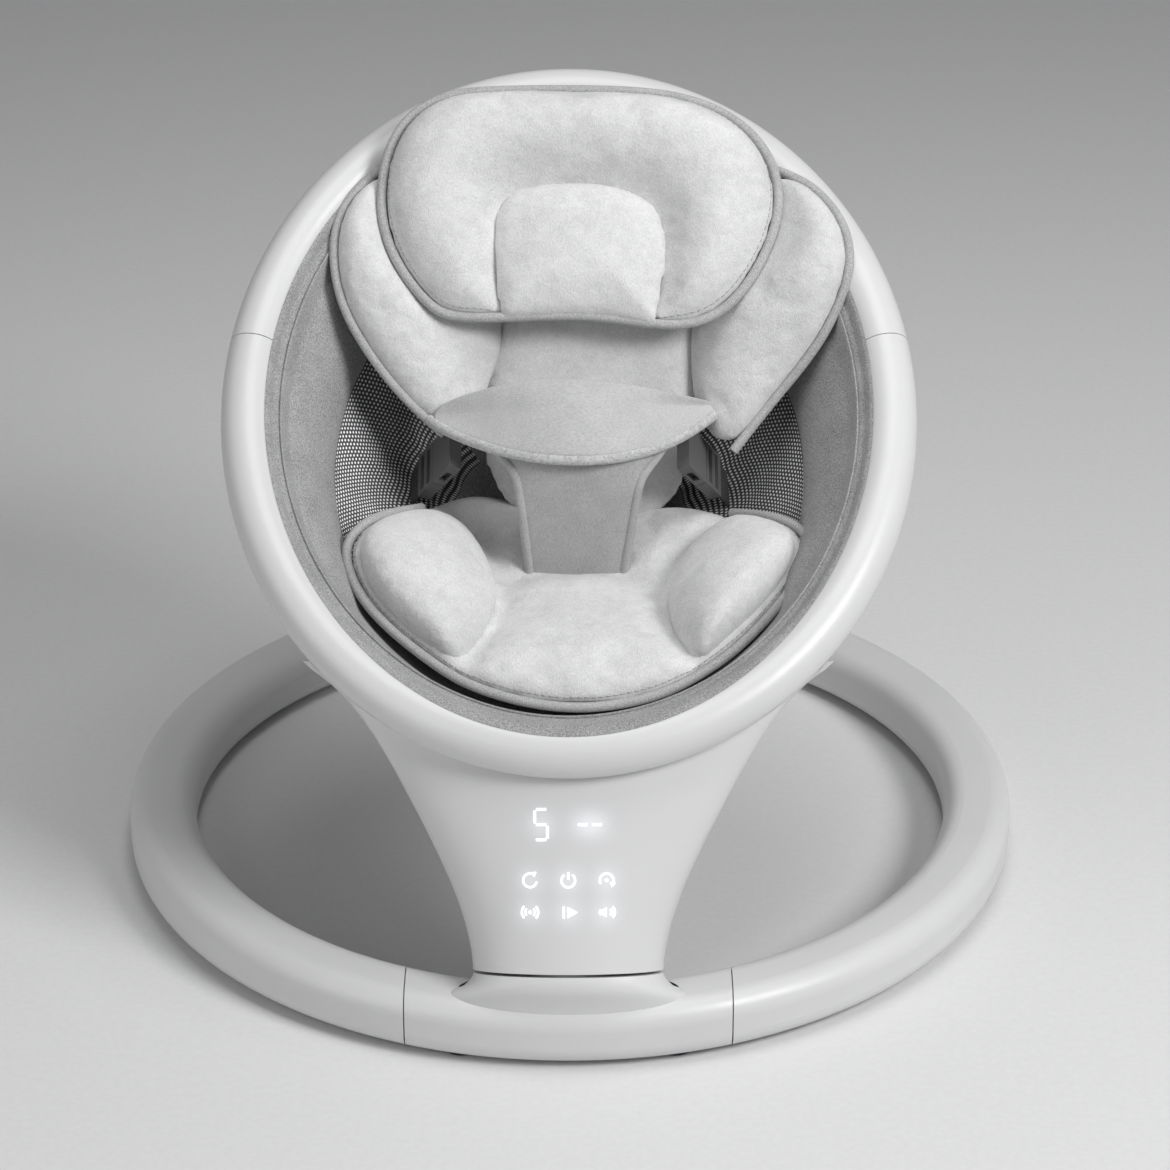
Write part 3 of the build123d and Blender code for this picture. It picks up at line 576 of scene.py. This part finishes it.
def sewnPad(name, spec, materials):
    # rings are drawn in from the edge, then raised by ring (domed) or by their distance from a seam
    loop = smoothRun(spec["outline"])
    middle = Vector(spec["middle"])
    rim, quilting = [flatSpot(spot) for spot in loop], []
    for line in spec.get("seams", ()):
        quilting += [flatSpot(spot) for spot in smoothRun([(*p, 0) for p in line], closed=False, fine=10)]
    allSeams, rimSeam, innerSeams = treeOf(rim + quilting), treeOf(rim), treeOf(quilting)
    spec["sewn"] = allSeams
    level = geometry.normal(loop)
    centre = sum(loop, Vector()) / len(loop)
    bm = bmesh.new()
    base = bm.faces.new([bm.verts.new(spot) for spot in loop])
    creases = bm.edges.layers.float.new("crease_edge")
    for edge in base.edges:
        edge[creases] = sewing["crease"]
    shares = {}
    for side in (1, -1):
        face, share = base, 1.0
        for scale in padRings:
            made = bmesh.ops.extrude_face_region(bm, geom=[face])
            if face is not base or side < 0:  # only the two caps stay
                bmesh.ops.delete(bm, geom=[face], context="FACES_ONLY")
            face = max(madeOf(made, BMFace), key=lambda item: len(item.verts))
            bmesh.ops.scale(bm, vec=(scale / share,) * 3, space=Matrix.Translation(-middle), verts=face.verts)
            share = scale
            for vert in face.verts:
                shares[vert] = (scale, side)
    for vert, (scale, side) in shares.items():
        spot, here = vert.co, flatSpot(vert.co)
        edgeDepth = middle.z + (spot.z - middle.z) / scale
        flat = centre.z - (level.x * (spot.x - centre.x) + level.y * (spot.y - centre.y)) / level.z
        bed = spec["bed"](spot.x, spot.y) if "bed" in spec else flat
        depth = scale ** 2 * edgeDepth + (1 - scale ** 2) * bed
        if spec.get("domed"):
            crown = (1 - scale ** sewing["domeEdge"]) ** sewing["dome"]
        else:
            gap = (allSeams if side > 0 else rimSeam).find(here)[2]
            share = min(1.0, gap / spec["round"])
            crown = (1 - (1 - share) ** sewing["slope"]) ** spec.get("steep", sewing["steep"])
        lumps = noise.noise(Vector((spot.x, spot.y, 31 * side)) * sewing["lumps"])
        crown *= 1 + spec.get("uneven", sewing["uneven"]) * lumps
        if side > 0:
            full = spec["full"](spot.x, spot.y) if "full" in spec else 1.0
            vert.co.z = depth + spec["rise"] * crown * full
            if "pull" in spec:  # the quilting thread draws the cover in
                near = innerSeams.find(here)[2]
                vert.co.z -= spec["pull"] * max(0.0, 1 - near / sewing["pullReach"]) * (1 - scale ** 6)
            if "under" in spec:
                vert.co.z = min(vert.co.z, spec["under"](spot.x, spot.y))
        else:
            vert.co.z = depth - spec["deep"] * crown
        if spec.get("rests", True):
            clear = sewing["bottomGap"] if side < 0 else sewing["topGap"]
            vert.co.z = max(vert.co.z, tubFloor(spot.x, spot.y) + clear)
    inner = [vert for vert, (scale, side) in shares.items() if scale < sewing["softShare"]]
    for again in range(spec.get("soften", sewing["soften"])):
        bmesh.ops.smooth_vert(bm, verts=inner, factor=0.5, use_axis_z=True)
    return finishPiece(name, bm, materials, hoopPlane, levels=1)


# the filling presses each sewn cover out; its grid, greatest move, held seams and pressed places in mm
filling = {"voxel": 4.0, "cap": 5.0, "sewn": 6.0, "pressed": 8, "pressure": 4.0, "frames": 20, "spare": 0.006}


def plumpUp(piece, spec):
    scene = bpy.context.scene
    cover = bpy.data.objects.new("cover", shownMesh(piece))
    scene.collection.objects.link(cover)
    grid = cover.modifiers.new("grid", "REMESH")
    grid.mode, grid.voxel_size = "VOXEL", filling["voxel"] * mm
    mesh = shownMesh(cover)
    cover.modifiers.clear()
    cover.data = mesh
    held = cover.vertex_groups.new(name="held")
    toSeat = hoopPlane.inverted()
    for vert in mesh.vertices:  # seams, the underside and what another pad lies on stay where they are
        spot = toSeat @ vert.co
        gap = spec["sewn"].find(flatSpot(spot))[2]
        pressed = vert.normal.dot(seatUp) < 0
        if "under" in spec:
            pressed = pressed or spot.z > spec["under"](spot.x, spot.y) - filling["pressed"]
        held.add([vert.index], 1.0 if pressed else max(0.0, 1 - gap / filling["sewn"]) ** 0.5, "REPLACE")
    fabric = cover.modifiers.new("fabric", "CLOTH")
    fabric.settings.quality = 5
    fabric.settings.use_pressure = True
    fabric.settings.uniform_pressure_force = filling["pressure"]
    fabric.settings.effector_weights.gravity = 0
    fabric.settings.vertex_group_mass = held.name
    fabric.settings.shrink_min = -filling["spare"]
    start = [vert.co.copy() for vert in mesh.vertices]
    for step in range(1, filling["frames"] + 1):
        scene.frame_set(step)
    graph = bpy.context.evaluated_depsgraph_get()
    swollen = [vert.co.copy() for vert in cover.evaluated_get(graph).data.vertices]
    scene.frame_set(1)
    for vert, old, new in zip(mesh.vertices, start, swollen):
        move = new - old
        vert.co = old + move * min(1.0, filling["cap"] * mm / max(move.length, 1e-9))
    materials = list(piece.data.materials)
    bpy.data.objects.remove(cover)
    piece.modifiers.clear()
    piece.data = mesh
    mesh.materials.clear()
    dressMesh(mesh, piece.name, materials)
    roundOff(piece, 1)
    return piece


def plushPad(name, spec, fill, node):
    return softPart(plumpUp(sewnPad(name, spec, [plush]), spec), "plush", fill, node)


def edgeStitches(name, piece, points, middle, closed=True):
    # a row of stitches just inside the cord, laid on the finished cover
    cover = BVHTree.FromObject(piece, bpy.context.evaluated_depsgraph_get())
    run = []
    for spot in smoothRun(points, closed):
        inward = (flatSpot(middle) - flatSpot(spot)).normalized()
        start = spot + inward * stitch["inset"] + Vector((0, 0, stitch["above"]))
        hit = cover.ray_cast(hoopPlane @ start, -seatUp)[0]
        if hit:
            run.append(hit + seatUp * stitch["lift"] * mm)
    stitchRow(name, run, stitch["gap"], stitch["long"])


# head pillow: a horseshoe bolster with a plump middle
pillow = {
    "outline": (
        (-56, 221, 40), (14, 221, 40), (66, 219, 40), (104, 207, 36), (130, 185, 29), (141, 155, 19),
        (134, 121, 8), (111, 84, -4), (85, 69, -9), (56, 69, -9), (12, 77, -6), (-38, 74, -7),
        (-76, 73, -7), (-92, 80, -5), (-116, 110, 5), (-126, 143, 15), (-122, 180, 27), (-107, 205, 35),
        (-83, 218, 39),
    ),
    "middle": (8, 146, 16), "rise": 25, "round": 33, "deep": 11, "rests": False, "steep": 0.8, "soften": 2,
    "pull": 5, "uneven": 0.05, "coreEdge": 3, "coreStrip": 5,
    "seams": ((
        (-45, 70), (-49, 101), (-52, 131), (-48, 149), (-33, 158), (-2, 161), (25, 160), (51, 152),
        (63, 140), (66, 118), (62, 95), (58, 68),
    ),),
}
pillowCore = {
    "outline": (
        (-47, 69, -7), (-47, 70, -7), (-50, 101, 0), (-53, 130, 8), (-49, 150, 14), (-33, 160, 17),
        (-2, 163, 18), (25, 162, 18), (52, 154, 15), (64, 141, 11), (67, 118, 4), (63, 95, -3),
        (59, 67, -8), (59, 66, -8), (34, 70, -7), (12, 73, -6), (-14, 72, -6),
    ),
    "middle": (7, 112, 9), "rise": 20, "deep": 3, "rests": False, "uneven": 0.05, "domed": True, "soften": 12,
}


def insideOf(points):
    # how far a point lies inside a closed outline, less than nothing outside it
    loop = [flatSpot(spot) for spot in smoothRun(points)]
    tree = treeOf(loop)

    def measure(u, v):
        within = False
        for first, second in zip(loop, loop[1:] + loop[:1]):
            if (first.y > v) != (second.y > v):
                crossing = first.x + (second.x - first.x) * (v - first.y) / (second.y - first.y)
                within = within != (u < crossing)
        return tree.find(Vector((u, v, 0)))[2] * (1 if within else -1)
    return measure


inCore = insideOf(pillowCore["outline"])
inPillow = insideOf(pillow["outline"])


def besideCore(u, v):
    # the bolster is flat under the middle pad
    return max(0.0, min(1.0, (pillow["coreEdge"] - inCore(u, v)) / pillow["coreStrip"]))


pillow["full"] = besideCore
headBolster = plushPad("headBolster", pillow, 0.7, "head_bolster")
pipingRun("headPiping", pillow["outline"], 3.3, middle=pillow["middle"])
plushPad("headCorePad", pillowCore, 0.6, "head_center_pad")
edgeStitches("headStitches", headBolster, pillow["outline"], pillow["middle"])
print("head pillow made")

# the pillow's underside: a plane along the back, how deep it presses and where it ends
backSlope = 0.325
press = {
    "height": 15.7, "from": 144.4, "gap": 6, "deep": 6, "reach": 20, "flare": 1.1, "ends": 30, "clear": 400.0,
}


def pillowUnderside(u, v):
    # wings and back are pressed flat where the pillow lies on them
    inside = inPillow(u, v)
    plane = press["height"] + backSlope * (v - press["from"]) - press["gap"]
    if inside > 0:
        return plane - press["deep"] * min(1.0, inside / press["reach"])
    return plane - inside * press["flare"] if inside > -press["ends"] else press["clear"]


wing = {"rise": 26, "deep": 10, "under": pillowUnderside, "domed": True, "soften": 6}
wingLeft = {
    **wing, "middle": (-104, 96, -20), "piped": 9,
    "outline": (
        (-127, 175, 12), (-144, 160, 11), (-155, 139, 8), (-157, 114, 2), (-152, 88, -9), (-140, 67, -21),
        (-122, 44, -35), (-102, 24, -45), (-84, 10, -51), (-66, 15, -55), (-56, 40, -54), (-50, 55, -50),
        (-45, 73, -45), (-43, 92, -40), (-56, 120, -30), (-80, 150, -14), (-106, 170, 2),
    ),
}
wingRight = {
    **wing, "middle": (132, 90, -18), "piped": 10,
    "outline": (
        (140, 172, 15), (157, 163, 18), (174, 143, 21), (185, 117, 21), (185, 93, 15), (176, 72, 1),
        (163, 54, -14), (145, 37, -31), (130, 22, -42), (110, -2, -53), (94, 8, -57), (85, 30, -57),
        (82, 46, -54), (81, 64, -48), (81, 84, -41), (90, 118, -30), (106, 148, -14), (124, 168, 4),
    ),
}
for label, spec, node in (("wingLeft", wingLeft, "wing_left"), ("wingRight", wingRight, "wing_right")):
    plushPad(label + "Pad", spec, 0.65, node)
    pipingRun(label + "Piping", spec["outline"][:spec["piped"]], 3.2, closed=False, middle=spec["middle"])


def backBed(u, v):
    # straight behind the back, then down towards the seat
    depth, level, bend, curl = -58.5, 52, 40, 0.0085
    return depth + backSlope * (v - level) - curl * max(0.0, bend - v) ** 2


backPanel = {
    "outline": (
        (-40, 158, -26), (16, 164, -24), (76, 156, -26), (90, 120, -37), (91, 84, -50), (90, 44, -62),
        (84, 6, -86), (70, -18, -108), (46, -27, -116), (16, -29, -118), (-16, -27, -116),
        (-44, -18, -108), (-60, 6, -86), (-62, 44, -62), (-56, 84, -50), (-50, 120, -37),
    ),
    "middle": (16, 62, -56), "rise": 12, "round": 30, "deep": 8, "bed": backBed, "under": pillowUnderside,
}
plushPad("backPanelPad", backPanel, 0.45, "back_pad")
print("back and wings made")


def seatBed(u, v):
    # tilted down to the back, turned up at both sides
    depth, front, slope, middle, flat, curl = -66, -134, 0.466, 6, 30, 0.0011
    return depth - slope * (v - front) + curl * max(0.0, abs(u - middle) - flat) ** 2


seatPad = {
    "piping": (
        (-130, -57, -50), (-145, -79, -42), (-143, -101, -38), (-131, -128, -34), (-109, -153, -31),
        (-82, -176, -29), (-65, -188, -28), (-35, -199, -29), (-1, -205, -29), (29, -203, -29),
        (60, -195, -29), (84, -180, -30), (106, -163, -31), (128, -138, -33), (146, -112, -37),
        (156, -87, -42), (154, -70, -45), (138, -57, -51),
    ),
    "back": (
        (118, -42, -84), (98, -22, -104), (72, -14, -110), (46, -19, -109), (6, -40, -104),
        (-34, -10, -114), (-62, 0, -118), (-84, -8, -114), (-110, -34, -92),
    ),
    "tuckedLeft": ((-98, -28, -90), (-114, -42, -70)),   # the cord's ends, hidden behind the lobes
    "tuckedRight": ((124, -44, -70), (108, -32, -90)),
    "middle": (4, -108, -66), "rise": 17, "round": 30, "deep": 8, "bed": seatBed, "pull": 5,
    "seams": (((-74, -22), (-60, -46), (-50, -73), (-43, -105), (-46, -127), (-55, -153), (-70, -182)),
              ((106, -36), (82, -60), (65, -94), (61, -122), (66, -146), (82, -178)),
              ((-46, -98), (-36, -82), (-16, -74), (5, -72), (26, -74), (44, -84), (56, -104))),   # slit
    "uneven": 0.10,
}
seatPad["outline"] = seatPad["piping"] + seatPad["back"]
seatCushion = plushPad("seatCushion", seatPad, 0.6, "seat_pad")
edgeStitches("seatStitches", seatCushion, seatPad["piping"], seatPad["middle"], closed=False)
seatCord = seatPad["tuckedLeft"] + seatPad["piping"] + seatPad["tuckedRight"]
pipingRun("seatPiping", seatCord, 3.3, closed=False, middle=seatPad["middle"])

thigh = {"rise": 31, "deep": 8, "uneven": 0.05, "domed": True, "soften": 14}
thighLeft = {
    **thigh, "middle": (-94, -98, -50),
    "outline": (
        (-100, -34, -78), (-128, -61, -46), (-138, -80, -37), (-137, -101, -33), (-126, -126, -29),
        (-104, -151, -27), (-80, -172, -27), (-69, -178, -30), (-56, -152, -42), (-48, -126, -52),
        (-46, -104, -60), (-53, -76, -72), (-66, -48, -82), (-80, -34, -88),
    ),
}
thighRight = {
    **thigh, "middle": (106, -102, -50),
    "outline": (
        (112, -38, -78), (136, -60, -48), (148, -74, -40), (150, -88, -37), (141, -110, -33),
        (124, -135, -29), (102, -158, -27), (88, -172, -27), (80, -175, -30), (67, -146, -44),
        (63, -122, -54), (66, -95, -64), (78, -66, -76), (94, -46, -84),
    ),
}
plushPad("thighLeftPad", thighLeft, 0.75, "thigh_bolster_left")
plushPad("thighRightPad", thighRight, 0.75, "thigh_bolster_right")
print("seat and thigh pads made")


def waistArch(u, v):
    crown, radius = -8, 150
    return crown - (radius - math.sqrt(max(0.0, radius ** 2 - u * u)))


waistLens = {
    "outline": (
        (-93, 17, -42), (-84, 23, -33), (-59, 25, -20), (-33, 27, -12), (-8, 27, -8), (20, 26, -9),
        (51, 25, -17), (78, 26, -30), (100, 29, -45), (102, 28, -46), (101, 26, -46), (82, 2, -32),
        (60, -17, -21), (33, -30, -12), (7, -34, -8), (-19, -32, -9), (-45, -23, -15), (-68, -9, -24),
        (-87, 8, -37),
    ),
    "middle": (4, 0, -8), "rise": 5, "deep": 10, "bed": waistArch, "rests": False, "uneven": 0.04,
    "domed": True, "trimFrom": 9, "trimDrop": (0, -1.0, -2.6),
}
waist = softPart(sewnPad("waistPad", waistLens, [waistKnit, fleece]), "waist", 0.5, "waist_pad")
for polygon in waist.data.polygons:  # brushed knit above, fleece below
    if polygon.normal.dot(seatUp) < 0:
        polygon.material_index = 1
lowerEdge = waistLens["outline"][waistLens["trimFrom"]:] + waistLens["outline"][:1]
trim = [Vector(spot) + Vector(waistLens["trimDrop"]) for spot in lowerEdge]
pipingRun("waistFleece", trim, 3.6, "waist", closed=False, material=fleece)
print("waist pad made")

# the woven strap between the legs, each station as its height, left end, right end and lift
strap = {
    "stations": (
        (12, -54, 72, -3), (6, -50, 67, -1), (2, -45, 61, 0), (-2, -39, 56, 1), (-7, -35.5, 50, 2),
        (-13, -33.5, 46.5, 2.5), (-22, -32.5, 44.5, 3), (-40, -30, 42, 2.5), (-60, -28.5, 39, 1),
        (-76, -26.5, 37, -1), (-88, -26, 36.5, -3),
    ),
    "frame": Matrix.Translation((0, -30, -24)) @ Matrix.Rotation(math.radians(55), 4, "X"), "thick": 2.6,
    "middle": 5, "bow": 3.0, "bowReach": 45, "armFrom": 32, "armBack": 0.03,
}


def strapBow(x):
    # bowed over its width, with the arms drawn back under the waist pad
    reach = abs(x - strap["middle"])
    bow = strap["bow"] * (1 - min(1.0, (reach / strap["bowReach"]) ** 2))
    return bow - strap["armBack"] * max(0.0, reach - strap["armFrom"]) ** 2


def makeStrap():
    bm = bmesh.new()
    down, left, right, lift = strap["stations"][0]
    edge = bm.edges.new([bm.verts.new((left, down, lift)), bm.verts.new((right, down, lift))])
    for down, left, right, lift in strap["stations"][1:]:
        made = bmesh.ops.extrude_edge_only(bm, edges=[edge])
        pair = sorted(madeOf(made, BMVert), key=lambda vert: vert.co.x)
        pair[0].co, pair[1].co = (left, down, lift), (right, down, lift)
        edge = next(item for item in madeOf(made, BMEdge) if set(item.verts) == set(pair))
    rungs = [item for item in bm.edges if abs(item.verts[0].co.y - item.verts[1].co.y) < 0.01]
    bmesh.ops.subdivide_edges(bm, edges=rungs, cuts=7, use_grid_fill=True)
    for vert in bm.verts:
        vert.co.z += strapBow(vert.co.x)
    piece = finishPiece("crotchStrap", bm, [strapWeave], hoopPlane @ strap["frame"])
    thicken(piece, strap["thick"])
    roundOff(piece, 2)
    softPart(piece, "strap", 0.2, "crotch_strap")
    for label, column in (("Left", 1), ("Right", 2)):
        side = [(row[column], row[0], row[3]) for row in strap["stations"]]
        run = [strap["frame"] @ Vector((x, y, lift + strapBow(x))) for x, y, lift in side]
        pipingRun("strapPiping" + label, run, 3.2, "strap", closed=False, material=strapWeave)


makeStrap()
print("crotch strap made")

# flat webbing from each buckle plug to its slot in the lining, lengths along the buckle
belt = {"from": 46.5, "to": 69.0, "wide": 25.0, "thick": 1.6, "bow": 0.2, "spot": (76, -2, -49.4), "lean": 62}


def makeWebbing(name, side, node):
    long = belt["to"] - belt["from"]
    bm = bmesh.new()
    made = bmesh.ops.create_grid(bm, x_segments=14, y_segments=6, size=0.5)
    bmesh.ops.scale(bm, vec=(long, belt["wide"], 1), verts=made["verts"])
    bmesh.ops.translate(bm, vec=((belt["from"] + belt["to"]) / 2, 0, 0), verts=made["verts"])
    for vert in bm.verts:  # the band bows a little, within its channel in the plug
        vert.co.z += belt["bow"] * math.sin(math.pi * (vert.co.x - belt["from"]) / long)
    spot = Vector(belt["spot"])
    spot.x *= side
    place = hoopPlane @ Matrix.Translation(spot) @ Matrix.Rotation(math.radians(side * belt["lean"]), 4, "Y")
    if side < 0:
        place = place @ Matrix.Rotation(math.pi, 4, "Z")
    piece = finishPiece(name, bm, [webbing], place)
    thicken(piece, belt["thick"])
    softPart(piece, "webbing", None, node)


makeWebbing("webbingLeft", -1, "webbing_left")
makeWebbing("webbingRight", 1, "webbing_right")
print("webbing made")

# touch display on the column's face, each symbol about 10 mm
display = {
    "digit": (-17, 95), "digitSize": (8.0, 19.0), "digitLine": 1.7, "digitGap": 1.6,
    "dashes": ((9, 95), (18, 95)), "dash": 6.0, "rows": (60, 40), "columns": (-24, 0, 24), "stroke": 1.3,
    "ring": 4.3, "tip": 2.1, "before": -140, "face": -35, "proud": 0.12, "film": 0.1,
    "halo": 9, "haloGlow": 0.16,
}


def barShape(bm, x, y, wide, high):
    made = bmesh.ops.create_grid(bm, x_segments=4, y_segments=4, size=0.5)
    bmesh.ops.scale(bm, vec=(wide, high, 1), verts=made["verts"])
    bmesh.ops.translate(bm, vec=(x, y, 0), verts=made["verts"])


def arcShape(bm, x, y, radius, start, sweep):
    half = display["stroke"] / 2
    near, far = bm.verts.new((radius - half, 0, 0)), bm.verts.new((radius + half, 0, 0))
    edge = bm.edges.new((near, far))
    begin = Matrix.Rotation(math.radians(start), 3, "Z")
    bmesh.ops.rotate(bm, cent=(0, 0, 0), matrix=begin, verts=(near, far))
    before = set(bm.verts) - {near, far}
    bmesh.ops.spin(bm, geom=[edge, near, far], cent=(0, 0, 0), axis=(0, 0, 1), angle=math.radians(sweep),
                   steps=max(6, int(sweep / 12)))
    bmesh.ops.translate(bm, vec=(x, y, 0), verts=[vert for vert in bm.verts if vert not in before])


def tipShape(bm, x, y, radius, turn):
    made = bmesh.ops.create_circle(bm, cap_ends=True, segments=3, radius=radius)
    swing = Matrix.Rotation(math.radians(turn), 3, "Z")
    bmesh.ops.rotate(bm, cent=(0, 0, 0), matrix=swing, verts=made["verts"])
    bmesh.ops.translate(bm, vec=(x, y, 0), verts=made["verts"])


def dotShape(bm, x, y, radius):
    made = bmesh.ops.create_circle(bm, cap_ends=True, segments=16, radius=radius)
    bmesh.ops.translate(bm, vec=(x, y, 0), verts=made["verts"])


def drawDigit(bm):
    x, y = display["digit"]
    (wide, high), line, gap = display["digitSize"], display["digitLine"], display["digitGap"]
    for rise in (high / 2, 0, -high / 2):
        barShape(bm, x, y + rise, wide - gap, line)
    for side in (-1, 1):
        barShape(bm, x + side * wide / 2, y - side * high / 4, line, high / 2 - gap)
    for dashX, dashY in display["dashes"]:
        barShape(bm, dashX, dashY, display["dash"], line)


def drawSymbols(bm):
    left, middle, right = display["columns"]
    high, low = display["rows"]
    ring, tip = display["ring"], display["tip"]
    arcShape(bm, left, high, ring, 60, 290)   # turn again
    tipShape(bm, left + 2.4, high + 4.1, tip, -50)
    arcShape(bm, middle, high, ring, 125, 290)   # on and off
    barShape(bm, middle, high + 3.0, display["stroke"], 4.6)
    arcShape(bm, right, high, ring, -30, 240)   # how far it swings
    tipShape(bm, right + 3.7, high - 2.4, tip, 170)
    dotShape(bm, right, high, 1.1)
    dotShape(bm, left, low, 1.2)   # hum
    for reach in (3.0, 5.2):
        arcShape(bm, left, low, reach, -45, 90)
        arcShape(bm, left, low, reach, 135, 90)
    barShape(bm, middle - 2.8, low, display["stroke"], 7.5)   # play
    tipShape(bm, middle + 1.6, low, 4.2, -90)
    barShape(bm, right - 3.4, low, 2.4, 3.2)   # sound
    tipShape(bm, right - 1.8, low, 3.6, 90)
    for reach in (2.6, 4.8):
        arcShape(bm, right + 0.4, low, reach, -45, 90)


def makeDisplay():
    face = BVHTree.FromObject(nodes["column_front_shell"], bpy.context.evaluated_depsgraph_get())
    into = (neckPlane.to_3x3() @ Vector((0, 1, 0))).normalized()
    for label, draw in (("displayDigits", drawDigit), ("displaySymbols", drawSymbols)):
        bm = bmesh.new()
        draw(bm)
        bmesh.ops.remove_doubles(bm, verts=bm.verts, dist=0.001)
        for vert in bm.verts:
            start = neckPlane @ Vector((vert.co.x, display["before"], vert.co.y))
            hit = face.ray_cast(start, into)[0] or neckPlane @ Vector((vert.co.x, display["face"], vert.co.y))
            vert.co = hit - into * display["proud"] * mm
        piece = finishPiece(label, bm, [symbolGlow], Matrix.Identity(4))
        film = piece.modifiers.new("film", "SOLIDIFY")
        film.thickness = display["film"] * mm
        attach(piece, "seat")


makeDisplay()
lit = [display["digit"], *display["dashes"], *((x, y) for x in display["columns"] for y in display["rows"])]
lit = [neckPlane @ Vector((x, display["face"], y)) for x, y in lit]
halo = [(spot, display["halo"] * mm, display["haloGlow"]) for spot in lit]
columnPlastic = mouldedPlastic("columnPlastic", 0.70, 0.36, halo=halo)
print("display made")

finishes = {
    whitePlastic: ("base_leg_left", "base_leg_right", "base_front_housing", "base_bottom_cover",
                   "column_rear_shell"),
    columnPlastic: ("column_front_shell",),
    tubePlastic: ("hoop_upper", "hoop_lower"),
    buttonPlastic: ("hoop_button_left", "hoop_button_right", "leg_button_left", "leg_button_right"),
    innerPlastic: ("rear_leg_joiner", "hoop_joiner_left", "hoop_joiner_right", "post_bracket", "coil_bobbin"),
    bushPlastic: ("lower_bushing", "upper_bushing", "thrust_washer", "bearing_sleeve"),
    darkPlastic: ("power_inlet", "speaker"),
    bucklePlastic: ("buckle_socket_left", "buckle_socket_right", "buckle_plug_left", "buckle_plug_right"),
    footRubber: ("rubber_feet",),
    boardPlastic: ("control_board",),
    guidePlastic: ("display_light_guide",),
    steel: ("swing_post", "base_cover_screws", "bracket_screws", "column_screws", "hoop_screws",
            "joiner_screws", "post_nut", "magnet_arm"),
    darkSteel: ("drive_magnet",),
    copper: ("coil_winding",),
}
for mat, names in finishes.items():
    for name in names:
        nodes[name].data.materials.clear()
        nodes[name].data.materials.append(mat)

# pale floor that sweeps up behind, soft light from the right; lamps as name, place, size and power
studio = {
    "lens": 110.77, "sensor": 36.0, "camera": (0.0105, -2.2437, 1.2572), "tilt": 64.51, "clip": (0.05, 40.0),
    "lamps": (("keyLight", (1.8, -1.5, 2.0), 1.0, 54), ("fillLight", (-1.7, -1.6, 1.2), 1.8, 12),
              ("topLight", (0.2, -0.2, 2.4), 1.3, 18)),
    "aim": (0, -0.05, 0.25), "room": (0.75, 0.76, 0.78, 1), "roomLight": 0.17,
    "paper": ((0.3, 0.73), (0.7, 0.76)), "floor": 4.0, "wall": (0, 0.6, 5.0), "sweep": 1.6,
    "floorSpot": (0, 0.4, -0.0005),
}


def makeStudio():
    bm = bmesh.new()
    bmesh.ops.create_grid(bm, x_segments=1, y_segments=1, size=studio["floor"])
    edge = max(bm.edges, key=lambda item: item.verts[0].co.y + item.verts[1].co.y)
    made = bmesh.ops.extrude_edge_only(bm, edges=[edge])
    bmesh.ops.translate(bm, vec=studio["wall"], verts=madeOf(made, BMVert))
    bmesh.ops.bevel(bm, geom=[edge], offset=studio["sweep"], offset_type="OFFSET", segments=16, profile=0.5,
                    affect="EDGES", material=-1)
    mat, shader, coords = freshMaterial("studioPaper", 0.9, Specular_IOR_Level=0.1)
    fibre = addNoise(coords, scale=220.0, detail=3.0)
    addTint(shader, fibre, studio["paper"])
    floor = finishPiece("studioFloor", bm, [mat], Matrix.Translation(studio["floorSpot"]))
    scene = bpy.context.scene
    data = bpy.data.cameras.new("photoView")
    data.lens, data.sensor_width = studio["lens"], studio["sensor"]
    data.clip_start, data.clip_end = studio["clip"]
    camera = bpy.data.objects.new("photoView", data)
    camera.location = studio["camera"]
    camera.rotation_euler = (math.radians(studio["tilt"]), 0, 0)
    scene.collection.objects.link(camera)
    scene.camera = camera
    for label, spot, size, power in studio["lamps"]:
        lamp = bpy.data.lights.new(label, "AREA")
        lamp.size, lamp.energy = size, power
        holder = bpy.data.objects.new(label, lamp)
        holder.location = spot
        holder.rotation_euler = (Vector(studio["aim"]) - Vector(spot)).to_track_quat("-Z", "Y").to_euler()
        scene.collection.objects.link(holder)
    world = bpy.data.worlds.new("softRoom")
    world.use_nodes = True
    setInputs(world.node_tree.nodes["Background"], Color=studio["room"], Strength=studio["roomLight"])
    scene.world = world
    scene.view_settings.view_transform = "Standard"


makeStudio()
print("studio set")
